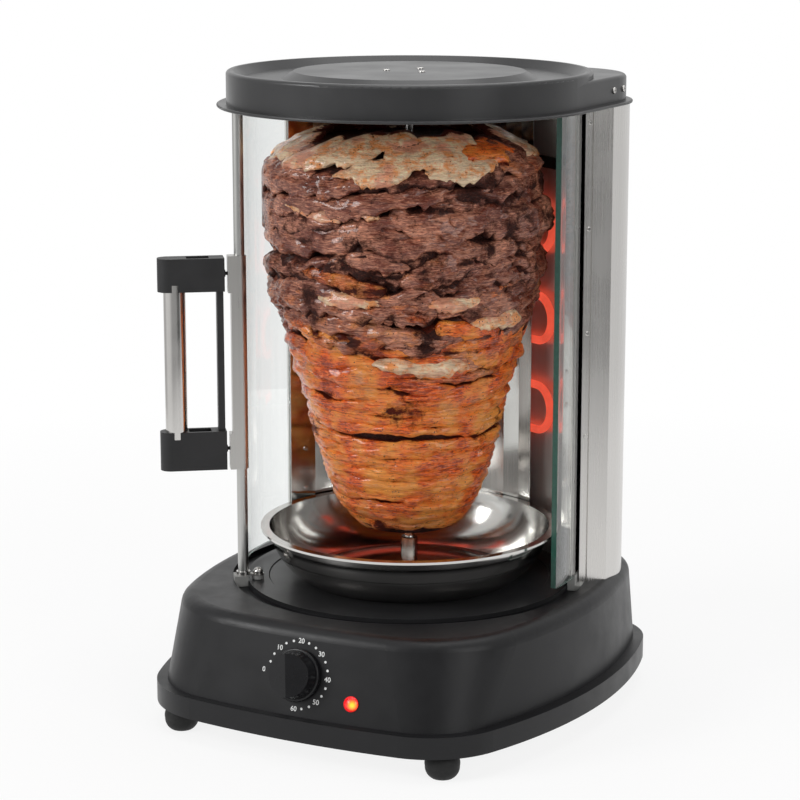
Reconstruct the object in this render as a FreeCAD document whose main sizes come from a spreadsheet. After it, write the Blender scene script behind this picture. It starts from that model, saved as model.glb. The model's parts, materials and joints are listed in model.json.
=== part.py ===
"""Vertical rotisserie grill: moulded base, C-shaped steel casing, turning glass door, heater and spit.

Lengths are in millimetres and angles in degrees. The table is z = 0 and +Z is up. The front, with the
timer knob, faces -Y. Pieces are drawn around the spit axis and set back together by `spit_back`, so
that the origin lies under the middle of the whole grill. A plan angle is counted from the front, and
grows towards the right-hand side of someone who stands in front.
"""
import FreeCAD, Part
import math
import os
from types import SimpleNamespace

import Sketcher

SIZES = {
    "foot_height": 20,
    "foot_radius": 14,
    "foot_sole_radius": 9,
    "foot_neck_radius": 10,
    "foot_side_inset": 64,
    "foot_front_inset": 34,
    "foot_rear_inset": 33,
    "base_front": 209,
    "base_rear": 178,
    "base_half_width": 186,
    "base_front_arc": 755,
    "base_side_arc": 430,
    "skirt_height": 18,
    "skirt_corner_front": 75,
    "skirt_corner_rear": 66,
    "ledge_front": 9,
    "ledge_side": 9,
    "ledge_rear": 6,
    "wall_height": 69,
    "wall_corner_front": 66,
    "wall_corner_rear": 60,
    "lean_front": 18,
    "lean_side": 6,
    "lean_rear": 1,
    "deck_corner_front": 100,
    "deck_corner_rear": 58,
    "shoulder_radius": 12,
    "base_wall": 3,
    "groove_inner_radius": 139.75,
    "groove_outer_radius": 152,
    "groove_depth": 5,
    "plate_seat_depth": 3,
    "plate_thickness": 1.2,
    "plate_step_radius": 121,
    "plate_step": 0.8,
    "bottom_plate_thickness": 1.2,
    "boss_radius": 5,
    "boss_side_inset": 36,
    "boss_front_inset": 99,
    "boss_rear_inset": 66,
    "screw_radius": 2,
    "screw_head_radius": 4,
    "screw_head_height": 2.2,
    "small_screw_radius": 1.5,
    "small_head_radius": 2.8,
    "small_head_height": 1.6,
    "fit_gap": 0.1,
    "running_gap": 0.05,
    "slide_gap": 0.3,
    "shaft_radius": 4,
    "shaft_bottom_depth": 10,
    "bush_radius": 6,
    "bush_flange_radius": 9,
    "bush_flange": 1,
    "gear_case_radius": 26,
    "gear_case_height": 24,
    "gear_case_drop": 3,
    "motor_radius": 24.5,
    "motor_height": 18,
    "ear_reach": 32,
    "ear_radius": 6,
    "ear_thickness": 3,
    "sleeve_radius": 7.15,
    "sleeve_height": 31,
    "sleeve_lift": 2.3,
    "sleeve_pin_radius": 1.2,
    "sleeve_pin_height": 8,
    "shaft_in_sleeve": 16,
    "tray_rim_radius": 127.5,
    "tray_lip": 6.5,
    "tray_floor_radius": 92,
    "tray_bow": 62,
    "tray_height": 44.8,
    "tray_wall": 0.8,
    "tray_hole_radius": 9,
    "tray_collar": 6,
    "tray_lip_turn": 2,
    "meat_bottom": 149,
    "meat_top_gap": 17,
    "meat_radius": 117,
    "meat_lean": 5,
    "skewer_plate_radius": 34,
    "skewer_plate_lift": 14,
    "skewer_plate_thickness": 2,
    "skewer_hub_radius": 8,
    "skewer_hub_height": 10,
    "chamber_height": 405,
    "glass_outer_radius": 146,
    "glass_thickness": 5,
    "glass_bottom": 8.5,
    "glass_top_grip": 7,
    "door_angle": -53,
    "glass_sweep": 222.5,
    "post_radius": 4.5,
    "post_foot": 7.5,
    "post_top_gap": 0.5,
    "ring_radius": 6,
    "ring_height": 3,
    "shoe_length": 14,
    "guide_shoe_length": 20,
    "guide_shoe_grip": 3,
    "arm_tip_radius": 131,
    "arm_width": 6,
    "arm_height": 3.5,
    "arm_thickness": 1.6,
    "arm_pad_radius": 5,
    "nut_radius": 4.3,
    "nut_height": 5,
    "clip_bottom": 205,
    "clip_height": 182,
    "clip_tab_height": 31,
    "clip_wall": 1.2,
    "clip_reach": 151,
    "clip_tab_reach": 153.5,
    "handle_top": 386,
    "handle_top_height": 28,
    "handle_bottom": 206,
    "handle_bottom_height": 33,
    "handle_nose": 14,
    "handle_width": 18,
    "handle_root": 156.5,
    "handle_pocket_depth": 14,
    "handle_pocket_wall": 3,
    "pocket_start_share": 0.233,
    "pocket_end_share": 0.961,
    "tube_radius": 9.25,
    "tube_wall": 1,
    "tube_axis_radius": 198,
    "tube_socket": 6,
    "strap_inner_radius": 157.5,
    "strap_thickness": 5.5,
    "strap_width": 11,
    "case_front_x": 147.5,
    "case_front_y": 44.5,
    "case_side": 158.5,
    "case_fold_y": 59.5,
    "case_rear": 154,
    "case_corner": 76,
    "case_thickness": 1,
    "case_tab_width": 12,
    "case_tab_reach": 15,
    "jamb_reach": 7,
    "jamb_width": 18,
    "rivet_radius": 1.4,
    "rivet_head_radius": 2.1,
    "rivet_head_height": 0.9,
    "rivet_inset": 2.6,
    "liner_gap": 1.5,
    "liner_thickness": 0.5,
    "liner_angle": 103,
    "liner_fold_x": 121,
    "liner_fold_y": 49,
    "slat_radius": 131,
    "slat_one_angle": 120.6,
    "slat_two_angle": 128.2,
    "reflector_start": 126,
    "guard_radius": 129,
    "guard_half_angle": 28,
    "guard_mid_angle": 21,
    "guard_inner_angle": 13,
    "guard_thickness": 0.6,
    "heater_radius": 133.5,
    "heater_tube_radius": 3.5,
    "heater_half_angle": 29.5,
    "heater_tail_angle": 41,
    "heater_bend_radius": 20,
    "heater_bottom": 217,
    "terminal_width": 9,
    "terminal_depth": 8,
    "terminal_height": 14,
    "lead_radius": 1.5,
    "strap_band_bottom": 449,
    "strap_band_height": 10,
    "strap_band_half_angle": 39,
    "support_half_angle": 17,
    "support_width": 10,
    "support_clear": 0.1,
    "ceiling_radius": 137.4,
    "ceiling_thickness": 1,
    "track_wall": 3,
    "track_crown": 3.5,
    "bearing_cup_radius": 26,
    "bearing_wall": 7,
    "bearing_screw_ring": 19,
    "pin_engagement": 10,
    "lid_radius": 152,
    "lid_rear": 156,
    "lid_corner": 70,
    "lid_wall": 1.5,
    "lid_height": 27,
    "lid_box_height": 21,
    "lid_trough_height": 20,
    "lid_crest_radius": 149,
    "lid_crest_width": 2.5,
    "lid_trough_outer": 139,
    "lid_trough_inner": 106,
    "lid_disc_radius": 96,
    "lid_disc_drop": 1,
    "brim_reach": 8,
    "brim_height": 2.5,
    "brim_round": 1.1,
    "bracket_length": 36,
    "bracket_leg": 16,
    "lid_screw_front": 73.5,
    "lid_screw_pitch": 20.5,
    "lid_screw_height": 10,
    "knob_height": 32,
    "knob_radius": 21.5,
    "knob_skirt": 4,
    "knob_waist_radius": 19.5,
    "knob_face_radius": 17.5,
    "knob_depth": 19,
    "knob_ridge_drop": 5,
    "knob_gap": 1.2,
    "timer_shaft_radius": 3,
    "timer_wall_gap": 0.6,
    "timer_width": 40,
    "timer_depth": 28,
    "timer_screw_pitch": 28,
    "lamp_side": 50.4,
    "lamp_height": 16.2,
    "lamp_radius": 6.25,
    "lamp_neck_radius": 4.6,
    "lamp_dome": 3.2,
    "lamp_holder_radius": 7,
    "lamp_holder_length": 18,
    "block_length": 46,
    "block_width": 22,
    "block_height": 14,
    "gland_side": 90,
    "gland_lift": 22,
    "gland_radius": 7,
    "gland_flange_radius": 9.5,
    "gland_flange": 2.5,
    "gland_bore_radius": 3.6,
    "gland_length": 14,
}

# The heights of the load's layers as shares of its height, with each layer's share of the widest radius
# and of the lean away from the spit.
MEAT_LAYERS = [
    (0.0, 0.30, 0.1), (0.05, 0.49, 0.2), (0.14, 0.60, 0.4), (0.24, 0.68, 0.5), (0.34, 0.76, 0.6),
    (0.44, 0.83, 0.5), (0.56, 0.905, 0.5), (0.68, 0.965, 0.6), (0.79, 1.0, 0.9), (0.87, 0.97, 1.2),
    (0.94, 0.86, 1.1), (0.985, 0.66, 0.6), (1.0, 0.40, 0.2),
]
MEAT_LEAN_ANGLE = -62
LAYER_WAIST = 0.965
LINING_SCREW_SHARES = (0.1235, 0.2148, 0.3778, 0.4469)
HEATER_ARMS = 6
GUIDE_SHOE_ANGLES = (62, 112, 162, 202)
HEATER_SUPPORTS = (-1, 1)
SLEEVE_PIN_ANGLE = 28
OVERCUT = 1.0
FULL_TURN = 360

os.makedirs("parts", exist_ok=True)
doc = FreeCAD.newDocument("vertical_grill")
sheet = doc.addObject("Spreadsheet::Sheet", "sizes")
for row, (alias, value) in enumerate(SIZES.items(), 1):
    sheet.set(f"A{row}", alias)
    sheet.set(f"B{row}", str(value))
    sheet.setAlias(f"B{row}", alias)
doc.recompute()


# Sizes that know their formula

class Size:
    """A number together with the sheet formula that gives it."""

    def __init__(self, number, formula):
        self.number = number
        self.formula = formula

    def __float__(self):
        return float(self.number)

    def __neg__(self):
        return Size(-self.number, f"(-1 * {self.formula})")

    def __add__(self, other):
        return Size(self.number + float(other), f"({self.formula} + {words(other)})")

    def __radd__(self, other):
        return Size(float(other) + self.number, f"({words(other)} + {self.formula})")

    def __sub__(self, other):
        return Size(self.number - float(other), f"({self.formula} - {words(other)})")

    def __rsub__(self, other):
        return Size(float(other) - self.number, f"({words(other)} - {self.formula})")

    def __mul__(self, other):
        return Size(self.number * float(other), f"({self.formula} * {words(other)})")

    def __rmul__(self, other):
        return Size(float(other) * self.number, f"({words(other)} * {self.formula})")

    def __truediv__(self, other):
        return Size(self.number / float(other), f"({self.formula} / {words(other)})")


def words(value):
    """The formula of a size, or a plain number in brackets."""
    return value.formula if isinstance(value, Size) else f"({float(value)!r})"


def sine(angle):
    return Size(math.sin(math.radians(float(angle))), f"sin({words(angle)})")


def cosine(angle):
    return Size(math.cos(math.radians(float(angle))), f"cos({words(angle)})")


s = SimpleNamespace(**{alias: Size(float(sheet.get(alias)), f"sizes.{alias}") for alias in SIZES})

# Levels and radii that several pieces share
skirt_top = s.foot_height + s.skirt_height
deck = skirt_top + s.wall_height
plate_seat = deck - s.plate_seat_depth
plate_inner_top = deck - s.plate_step
groove_floor = deck - s.groove_depth
chamber_top = deck + s.chamber_height
lid_bottom = chamber_top
lid_top = lid_bottom + s.lid_height
brim_bottom = lid_bottom - s.brim_height
glass_inner = s.glass_outer_radius - s.glass_thickness
glass_middle = s.glass_outer_radius - s.glass_thickness / 2
glass_low = deck + s.glass_bottom
glass_high = chamber_top + s.glass_top_grip
liner_outer = glass_inner - s.liner_gap
plate_radius = s.groove_inner_radius - s.slide_gap
lean_angle = math.degrees(math.atan(float(s.lean_front) / float(s.wall_height)))
gear_case_top = deck - s.base_wall * 2 - s.gear_case_drop
shaft_bottom = gear_case_top - s.gear_case_height + s.shaft_bottom_depth
sleeve_bottom = plate_inner_top + s.sleeve_lift
sleeve_top = sleeve_bottom + s.sleeve_height
rod_bottom = sleeve_bottom + s.shaft_in_sleeve + s.slide_gap
disc_under = lid_top - s.lid_disc_drop - s.lid_wall
rod_top = chamber_top + s.pin_engagement
meat_height = chamber_top - s.meat_top_gap - s.meat_bottom
handle_reach = s.tube_axis_radius + s.handle_nose
knob_front_height = s.foot_height + s.skirt_height + s.knob_height


def wall_front(height):
    """How far the leaning front wall stands before the spit axis at a height over the table."""
    share = (float(height) - float(skirt_top)) / float(s.wall_height)
    return float(s.base_front) - float(s.ledge_front) - float(s.lean_front) * share


def front_reach():
    """The furthest point in front: the skirt, or the lower rim of the knob's face."""
    lean = math.radians(lean_angle)
    face = float(s.knob_gap) + float(s.knob_depth)
    rim = face * math.cos(lean) + float(s.knob_face_radius) * math.sin(lean)
    return max(float(s.base_front), wall_front(knob_front_height) + rim)


spit_back = (front_reach() - float(s.base_rear)) / 2
part_nodes = []


# Building blocks

def vec(x=0, y=0, z=0):
    return FreeCAD.Vector(float(x), float(y), float(z))


def polar(radius, angle):
    """A point at a plan angle counted from the front."""
    turn = math.radians(float(angle))
    return float(radius) * math.sin(turn), -float(radius) * math.cos(turn)


def bind(thing, **sizes):
    """Tie properties to the sheet, or set them where they are plain numbers."""
    for name, size in sizes.items():
        path = name.replace("__", ".")
        if isinstance(size, Size):
            thing.setExpression(path, size.formula)
        else:
            setattr(thing, path, size)


def put(thing, x=0, y=0, z=0):
    """Stand a primitive at a place that follows the sheet."""
    thing.Placement.Base = vec(x, y, z)
    for axis, size in (("x", x), ("y", y), ("z", z)):
        if isinstance(size, Size):
            thing.setExpression(f"Placement.Base.{axis}", size.formula)
    return thing


def cylinder(name, radius, low, high, x=0, y=0):
    thing = doc.addObject("Part::Cylinder", name)
    bind(thing, Radius=radius, Height=high - low)
    return put(thing, x, y, low)


def box(name, x_low, x_high, y_low, y_high, z_low, z_high):
    thing = doc.addObject("Part::Box", name)
    bind(thing, Length=x_high - x_low, Width=y_high - y_low, Height=z_high - z_low)
    return put(thing, x_low, y_low, z_low)


def fuse(name, *things):
    joined = doc.addObject("Part::MultiFuse", name)
    joined.Shapes = list(things)
    return joined


def cut(name, base, *tools):
    result = doc.addObject("Part::Cut", name)
    result.Base = base
    result.Tool = tools[0] if len(tools) == 1 else fuse(f"{name}_tools", *tools)
    return result


def settled(name, thing):
    """Keep a primitive where it is drawn, inside a group that can be turned as a whole."""
    group = doc.addObject("Part::Compound", name)
    group.Links = [thing]
    return group


def origin_plane(body, role):
    return next(item for item in body.Origin.OriginFeatures if item.Role == role)


def arc_between(start, end, radius):
    """A minor arc that leaves start to the left-hand side of its centre, or right if radius is minus."""
    run_x, run_y = end[0] - start[0], end[1] - start[1]
    run = math.hypot(run_x, run_y)
    rise = math.copysign(math.sqrt(radius * radius - run * run / 4), radius)
    centre_x = (start[0] + end[0]) / 2 - run_y / run * rise
    centre_y = (start[1] + end[1]) / 2 + run_x / run * rise
    circle = Part.Circle(vec(centre_x, centre_y), vec(0, 0, 1), abs(radius))
    angles = [math.atan2(point[1] - centre_y, point[0] - centre_x) for point in (start, end)]
    if radius < 0:
        angles.reverse()
    return Part.ArcOfCircle(circle, *angles)


def fix_coordinate(sketch, kind, side, end, value):
    """Tie one coordinate of a corner to the sheet, or lay it on the axis where it is nothing."""
    if not isinstance(value, Size) and value == 0:
        axis = -2 if kind == "DistanceX" else -1
        sketch.addConstraint(Sketcher.Constraint("PointOnObject", side, end, axis))
        return
    index = sketch.addConstraint(Sketcher.Constraint(kind, -1, 1, side, end, float(value)))
    if isinstance(value, Size):
        sketch.setExpression(f"Constraints[{index}]", value.formula)


def draw_profile(sketch, corners):
    """A closed profile. A corner is (x, y), or (x, y, radius) where an arc leaves it."""
    points = [(float(corner[0]), float(corner[1])) for corner in corners]
    starts = []
    for index, corner in enumerate(corners):
        start, end = points[index], points[(index + 1) % len(points)]
        if len(corner) == 3:
            sketch.addGeometry(arc_between(start, end, float(corner[2])), False)
            starts.append(1 if float(corner[2]) > 0 else 2)
        else:
            sketch.addGeometry(Part.LineSegment(vec(*start), vec(*end)), False)
            starts.append(1)
    for index, corner in enumerate(corners):
        following = (index + 1) % len(corners)
        sketch.addConstraint(
            Sketcher.Constraint("Coincident", index, 3 - starts[index], following, starts[following]))
    for index, corner in enumerate(corners):
        fix_coordinate(sketch, "DistanceX", index, starts[index], corner[0])
        fix_coordinate(sketch, "DistanceY", index, starts[index], corner[1])
        if len(corner) == 3:
            bow = corner[2] if float(corner[2]) > 0 else -corner[2]
            place = sketch.addConstraint(Sketcher.Constraint("Radius", index, float(bow)))
            if isinstance(bow, Size):
                sketch.setExpression(f"Constraints[{place}]", bow.formula)


def new_sketch(body, name, role, level=0):
    """An empty sketch on one of the body's own planes, raised by level along the plane's normal."""
    sketch = body.newObject("Sketcher::SketchObject", name)
    sketch.AttachmentSupport = [(origin_plane(body, role), "")]
    sketch.MapMode = "FlatFace"
    sketch.AttachmentOffset = FreeCAD.Placement(vec(0, 0, level), FreeCAD.Rotation())
    if isinstance(level, Size):
        sketch.setExpression("AttachmentOffset.Base.z", level.formula)
    return sketch


def turned(name, corners):
    """A body turned about the upright axis from a profile of (radius, height) corners."""
    body = doc.addObject("PartDesign::Body", name)
    sketch = new_sketch(body, f"{name}_profile", "XZ_Plane")
    draw_profile(sketch, corners)
    turn = body.newObject("PartDesign::Revolution", f"{name}_turn")
    turn.Profile = sketch
    turn.ReferenceAxis = (sketch, ["V_Axis"])
    turn.Angle = FULL_TURN
    return body


def bored(body, name, radius, low, high, x=0, y=0):
    """An upright round pocket in a body, from low to high."""
    sketch = new_sketch(body, f"{name}_place", "XY_Plane", high)
    sketch.addGeometry(Part.Circle(vec(x, y), vec(0, 0, 1), float(radius)), False)
    fix_coordinate(sketch, "DistanceX", 0, 3, x)
    fix_coordinate(sketch, "DistanceY", 0, 3, y)
    index = sketch.addConstraint(Sketcher.Constraint("Radius", 0, float(radius)))
    if isinstance(radius, Size):
        sketch.setExpression(f"Constraints[{index}]", radius.formula)
    pocket = body.newObject("PartDesign::Pocket", name)
    pocket.Profile = sketch
    bind(pocket, Length=high - low)
    return body


def side_pad(name, corners, width):
    """A body padded from a side view of (reach to the front, height) corners, centred on the plane X = 0."""
    body = doc.addObject("PartDesign::Body", name)
    sketch = new_sketch(body, f"{name}_profile", "YZ_Plane")
    draw_profile(sketch, [(-corner[0],) + tuple(corner[1:]) for corner in corners])
    pad = body.newObject("PartDesign::Pad", f"{name}_pad")
    pad.Profile = sketch
    pad.Midplane = True
    bind(pad, Length=width)
    return body


def node(thing, label, angle=0):
    """Name a piece, turn it to its plan angle and set it back with the spit axis."""
    thing.Label = label
    turn = FreeCAD.Rotation(vec(0, 0, 1), float(angle))
    thing.Placement = FreeCAD.Placement(vec(0, spit_back), turn) * thing.Placement
    part_nodes.append(thing)
    return thing


def shaped(label, shape, **place):
    """A piece whose shape is worked out here."""
    thing = doc.addObject("Part::Feature", label)
    thing.Shape = shape
    return node(thing, label, **place)


def plan_wire(front, rear, half, front_arc, side_arc, corner_front, corner_rear, level):
    """A closed plan outline of eight tangent arcs, the same on both sides."""
    front_centre = vec(0, front_arc - front, level)
    rear_centre = vec(0, rear - front_arc, level)
    side_centre = vec(half - side_arc, 0, level)

    def corner_centre(end_centre, radius, forward):
        reach_side, reach_end = side_arc - radius, front_arc - radius
        gap = end_centre.sub(side_centre)
        across = gap.Length
        swing = math.acos((reach_side ** 2 + across ** 2 - reach_end ** 2) / (2 * reach_side * across))
        bearing = math.atan2(gap.y, gap.x) + (-swing if forward else swing)
        for heading in (bearing, bearing + 2 * (swing if forward else -swing)):
            point = side_centre + vec(reach_side * math.cos(heading), reach_side * math.sin(heading))
            if point.x > 0 and (point.y < 0) == forward:
                return point
        raise ValueError("the corner radius does not fit the outline")

    def tangent(centre, point, radius):
        along = point.sub(centre)
        return centre + along.multiply(radius / along.Length)

    def arc(centre, radius, start, end):
        middle = (start + end).multiply(0.5).sub(centre)
        return Part.Arc(start, centre + middle.multiply(radius / middle.Length), end).toShape()

    def mirrored(point):
        return vec(-point.x, point.y, point.z)

    near = corner_centre(front_centre, corner_front, True)
    far = corner_centre(rear_centre, corner_rear, False)
    front_end = tangent(front_centre, near, front_arc)
    side_start = tangent(side_centre, near, side_arc)
    side_end = tangent(side_centre, far, side_arc)
    rear_start = tangent(rear_centre, far, front_arc)
    rear_end = mirrored(rear_start)
    left_centre = mirrored(side_centre)
    arcs = [
        arc(front_centre, front_arc, mirrored(front_end), front_end),
        arc(near, corner_front, front_end, side_start),
        arc(side_centre, side_arc, side_start, side_end),
        arc(far, corner_rear, side_end, rear_start),
        arc(rear_centre, front_arc, rear_start, rear_end),
        arc(mirrored(far), corner_rear, rear_end, mirrored(side_end)),
        arc(left_centre, side_arc, mirrored(side_end), mirrored(side_start)),
        arc(mirrored(near), corner_front, mirrored(side_start), mirrored(front_end)),
    ]
    return Part.Wire(arcs)


def skirt_wire(inset, level):
    inset = float(inset)
    return plan_wire(
        float(s.base_front) - inset, float(s.base_rear) - inset, float(s.base_half_width) - inset,
        float(s.base_front_arc) - inset, float(s.base_side_arc) - inset,
        float(s.skirt_corner_front) - inset, float(s.skirt_corner_rear) - inset, float(level))


def wall_wire(inset, level):
    """The leaning wall's outline at a height, moved in by inset."""
    share = (float(level) - float(skirt_top)) / float(s.wall_height)
    inset = float(inset)

    def blend(low, high):
        return float(low) + (float(high) - float(low)) * share - inset

    front = float(s.base_front) - float(s.ledge_front)
    rear = float(s.base_rear) - float(s.ledge_rear)
    half = float(s.base_half_width) - float(s.ledge_side)
    front_arc = float(s.base_front_arc) - float(s.ledge_front)
    side_arc = float(s.base_side_arc) - float(s.ledge_side)
    return plan_wire(
        blend(front, front - float(s.lean_front)), blend(rear, rear - float(s.lean_rear)),
        blend(half, half - float(s.lean_side)), blend(front_arc, front_arc - float(s.lean_front)),
        blend(side_arc, side_arc - float(s.lean_side)),
        blend(s.wall_corner_front, s.deck_corner_front),
        blend(s.wall_corner_rear, s.deck_corner_rear), float(level))


def prism(wire, height):
    return Part.Face(wire).extrude(vec(0, 0, height))


def rounded_loft(low_wire, high_wire, radius):
    """A lofted block whose top edge is rounded."""
    block = Part.makeLoft([low_wire, high_wire], True, True)
    top = block.BoundBox.ZMax
    edges = [edge for edge in block.Edges if edge.BoundBox.ZMin > top - 0.01]
    return block.makeFillet(float(radius), edges)


def tube_ring(inner, outer, low, high):
    """A plain ring around the spit axis."""
    height = float(high) - float(low)
    ring = Part.makeCylinder(float(outer), height, vec(0, 0, low))
    return ring.cut(Part.makeCylinder(float(inner), height, vec(0, 0, low)))


def arc_wall(inner, outer, low, high, start, sweep):
    """An upright curved wall between two radii, from a plan angle onwards."""
    x, y = polar(inner, start)
    wall = Part.makePlane(float(outer) - float(inner), float(high) - float(low))
    wall.Placement = FreeCAD.Placement(
        vec(x, y, low), FreeCAD.Rotation(vec(0, 0, 1), float(start) - 90)
        * FreeCAD.Rotation(vec(1, 0, 0), 90))
    return wall.revolve(vec(), vec(0, 0, 1), float(sweep))


def standing_sheet(line, thickness, low, high, outward):
    """A sheet that stands along an open plan line and grows away from the spit, or towards it."""
    choices = [line.makeOffset2D(side * float(thickness), 2, True, True, False) for side in (-1, 1)]
    choices.sort(key=lambda face: math.hypot(face.CenterOfMass.x, face.CenterOfMass.y))
    wall = choices[-1 if outward else 0].extrude(vec(0, 0, float(high) - float(low)))
    wall.translate(vec(0, 0, low))
    return wall


def folded_sheet(points, thickness, low, high):
    """A sheet with sharp folds that grows away from the spit."""
    return standing_sheet(Part.makePolygon([vec(x, y) for x, y in points]), thickness, low, high, True)


def dome(radius, height):
    """A round cap that stands on the plane z = 0."""
    radius, height = float(radius), float(height)
    ball_radius = (radius ** 2 + height ** 2) / (2 * height)
    ball = Part.makeSphere(ball_radius, vec(0, 0, height - ball_radius))
    return ball.common(Part.makeCylinder(radius, height + 1))


def screw_shape(radius, length, head_radius, head_height):
    """A round-headed screw with its seat at the origin, its head above and its shank below."""
    head = Part.makeCylinder(float(head_radius), float(head_height))
    rim = [edge for edge in head.Edges if edge.BoundBox.ZMin > float(head_height) - 0.01]
    head = head.makeFillet(float(head_height) * 0.6, rim)
    slot_width = float(head_radius) * 0.3
    slot_length = float(head_radius) * 1.3
    for turn in (0, 90):
        slot = Part.makeBox(slot_length, slot_width, float(head_height), vec(
            -slot_length / 2, -slot_width / 2, float(head_height) * 0.55))
        slot.rotate(vec(), vec(0, 0, 1), turn)
        head = head.cut(slot)
    return head.fuse(Part.makeCylinder(float(radius), float(length), vec(0, 0, -float(length))))


def copies(shape, spots):
    """The same solid at several spots, each a point and the way that its head faces."""
    made = []
    for point, facing in spots:
        item = shape.copy()
        item.Placement = FreeCAD.Placement(point, FreeCAD.Rotation(vec(0, 0, 1), facing))
        made.append(item)
    return Part.makeCompound(made)


UP = vec(0, 0, 1)
DOWN = vec(0, 0, -1)


# The base

def panel_place(side, height, out=0.0):
    """A point on the leaning front wall and the rotation whose +Z leaves the wall there."""
    arc = float(s.base_front_arc) - float(s.ledge_front)
    swing = math.degrees(math.asin(float(side) / arc))
    rotation = FreeCAD.Rotation(vec(0, 0, 1), swing) * FreeCAD.Rotation(vec(1, 0, 0), 90 - lean_angle)
    sag = arc - math.sqrt(arc * arc - float(side) ** 2)
    point = vec(side, -wall_front(height) + sag, height)
    return point + rotation.multVec(vec(0, 0, out)), rotation


def panel_drill(radius, side, height):
    """A round cutter square to the front wall."""
    reach = float(s.base_wall) * 4
    drill = Part.makeCylinder(float(radius), 2 * reach, vec(0, 0, -reach))
    drill.Placement = FreeCAD.Placement(*panel_place(side, height))
    return drill


def boss_spots():
    side = float(s.base_half_width) - float(s.boss_side_inset)
    front = float(s.base_front) - float(s.boss_front_inset)
    rear = float(s.base_rear) - float(s.boss_rear_inset)
    return [(-side, -front), (side, -front), (side, rear), (-side, rear)]


def foot_spots():
    side = float(s.base_half_width) - float(s.foot_side_inset)
    front = float(s.base_front) - float(s.foot_front_inset)
    rear = float(s.base_rear) - float(s.foot_rear_inset)
    return [(-side, -front), (side, -front), (side, rear), (-side, rear)]


def tab_spots():
    """Where the casing's tabs are screwed to the deck, with the way that each tab points."""
    hole_reach = float(s.case_tab_reach) * 0.7
    side = float(s.case_side) - hole_reach
    rear = float(s.case_rear) - hole_reach
    front_row = float(s.case_fold_y) + float(s.case_tab_width) * 0.6
    rear_row = (float(s.case_side) - float(s.case_corner)) * 0.8
    return [(side, front_row), (-side, front_row), (rear_row, rear), (-rear_row, rear)]


def lead_spots():
    """Where the heater's two leads come down."""
    ring = heater_lead_ring()
    return [polar(ring, 180 + float(s.heater_tail_angle) + step) for step in (3.2, 6.2)]


def heater_lead_ring():
    return float(s.heater_radius) + float(s.terminal_depth) / 2 - 2 * float(s.lead_radius)


def base_block():
    """The base as a full block, before it is hollowed."""
    skirt = prism(skirt_wire(0, s.foot_height), s.skirt_height)
    return skirt.fuse(rounded_loft(wall_wire(0, skirt_top), wall_wire(0, deck), s.shoulder_radius))


def make_base_housing():
    wall = float(s.base_wall)
    outer = base_block()
    hollow = prism(skirt_wire(wall, s.foot_height), float(s.skirt_height) - wall)
    hollow = hollow.fuse(rounded_loft(
        wall_wire(wall, float(skirt_top) - wall), wall_wire(wall, float(deck) - wall),
        float(s.shoulder_radius) - wall))
    shell = outer.cut(hollow)
    ring_floor = float(groove_floor) - wall
    thick_radius = float(s.groove_outer_radius) + wall
    shell = shell.fuse(Part.makeCylinder(thick_radius, float(deck) - ring_floor, vec(0, 0, ring_floor)))
    shell = shell.cut(Part.makeCylinder(
        float(s.groove_inner_radius) - wall, float(deck) - 2 * wall - ring_floor, vec(0, 0, ring_floor)))
    for x, y in boss_spots():
        low = float(s.foot_height) + float(s.bottom_plate_thickness)
        boss = Part.makeCylinder(float(s.boss_radius), float(deck) - wall - low, vec(x, y, low))
        shell = shell.fuse(boss.common(outer))
        shell = shell.cut(Part.makeCylinder(
            float(s.screw_radius) + float(s.fit_gap), 16, vec(x, y, low)))
    for x in (-float(s.ear_reach), float(s.ear_reach)):
        drop = float(s.gear_case_drop)
        shell = shell.fuse(Part.makeCylinder(float(s.boss_radius), drop, vec(x, 0, gear_case_top)))
        shell = shell.cut(Part.makeCylinder(
            float(s.screw_radius) + float(s.fit_gap), drop + wall - 0.5, vec(x, 0, gear_case_top)))
    shell = shell.cut(tube_ring(s.groove_inner_radius, s.groove_outer_radius, groove_floor, deck))
    shell = shell.cut(Part.makeCylinder(
        float(s.groove_inner_radius), float(s.plate_seat_depth), vec(0, 0, plate_seat)))
    shell = shell.cut(Part.makeCylinder(
        float(s.bush_radius) + float(s.fit_gap), 4 * wall, vec(0, 0, float(plate_seat) - 2 * wall)))
    for x, y in tab_spots():
        shell = shell.cut(Part.makeCylinder(
            float(s.small_screw_radius) + float(s.fit_gap), 2 * wall, vec(x, y, float(deck) - 1.5 * wall)))
    for x, y in lead_spots():
        shell = shell.cut(Part.makeCylinder(
            float(s.lead_radius) + float(s.slide_gap), 4 * wall, vec(x, y, float(plate_seat) - 2 * wall)))
    for x, y in plate_screw_spots():
        shell = shell.cut(Part.makeCylinder(
            float(s.small_screw_radius) + float(s.fit_gap), 2 * wall, vec(x, y, float(plate_seat) - 2 * wall)))
    shell = shell.cut(panel_drill(
        float(s.timer_shaft_radius) + 2 * float(s.slide_gap), 0, knob_front_height))
    shell = shell.cut(panel_drill(
        float(s.lamp_neck_radius) + float(s.fit_gap), s.lamp_side, skirt_top + s.lamp_height))
    for step in (-1, 1):
        drill = Part.makeCylinder(float(s.small_screw_radius) + float(s.fit_gap), 8 * wall)
        point, rotation = panel_place(0, knob_front_height, -4 * wall)
        point = point + rotation.multVec(vec(step * float(s.timer_screw_pitch) / 2))
        drill.Placement = FreeCAD.Placement(point, rotation)
        shell = shell.cut(drill)
    point, outward = gland_place()
    shell = shell.cut(Part.makeCylinder(
        float(s.gland_radius) + float(s.fit_gap), 8 * wall, point - outward * 4 * wall, outward))
    shaped("base_housing", shell.removeSplitter())


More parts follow.
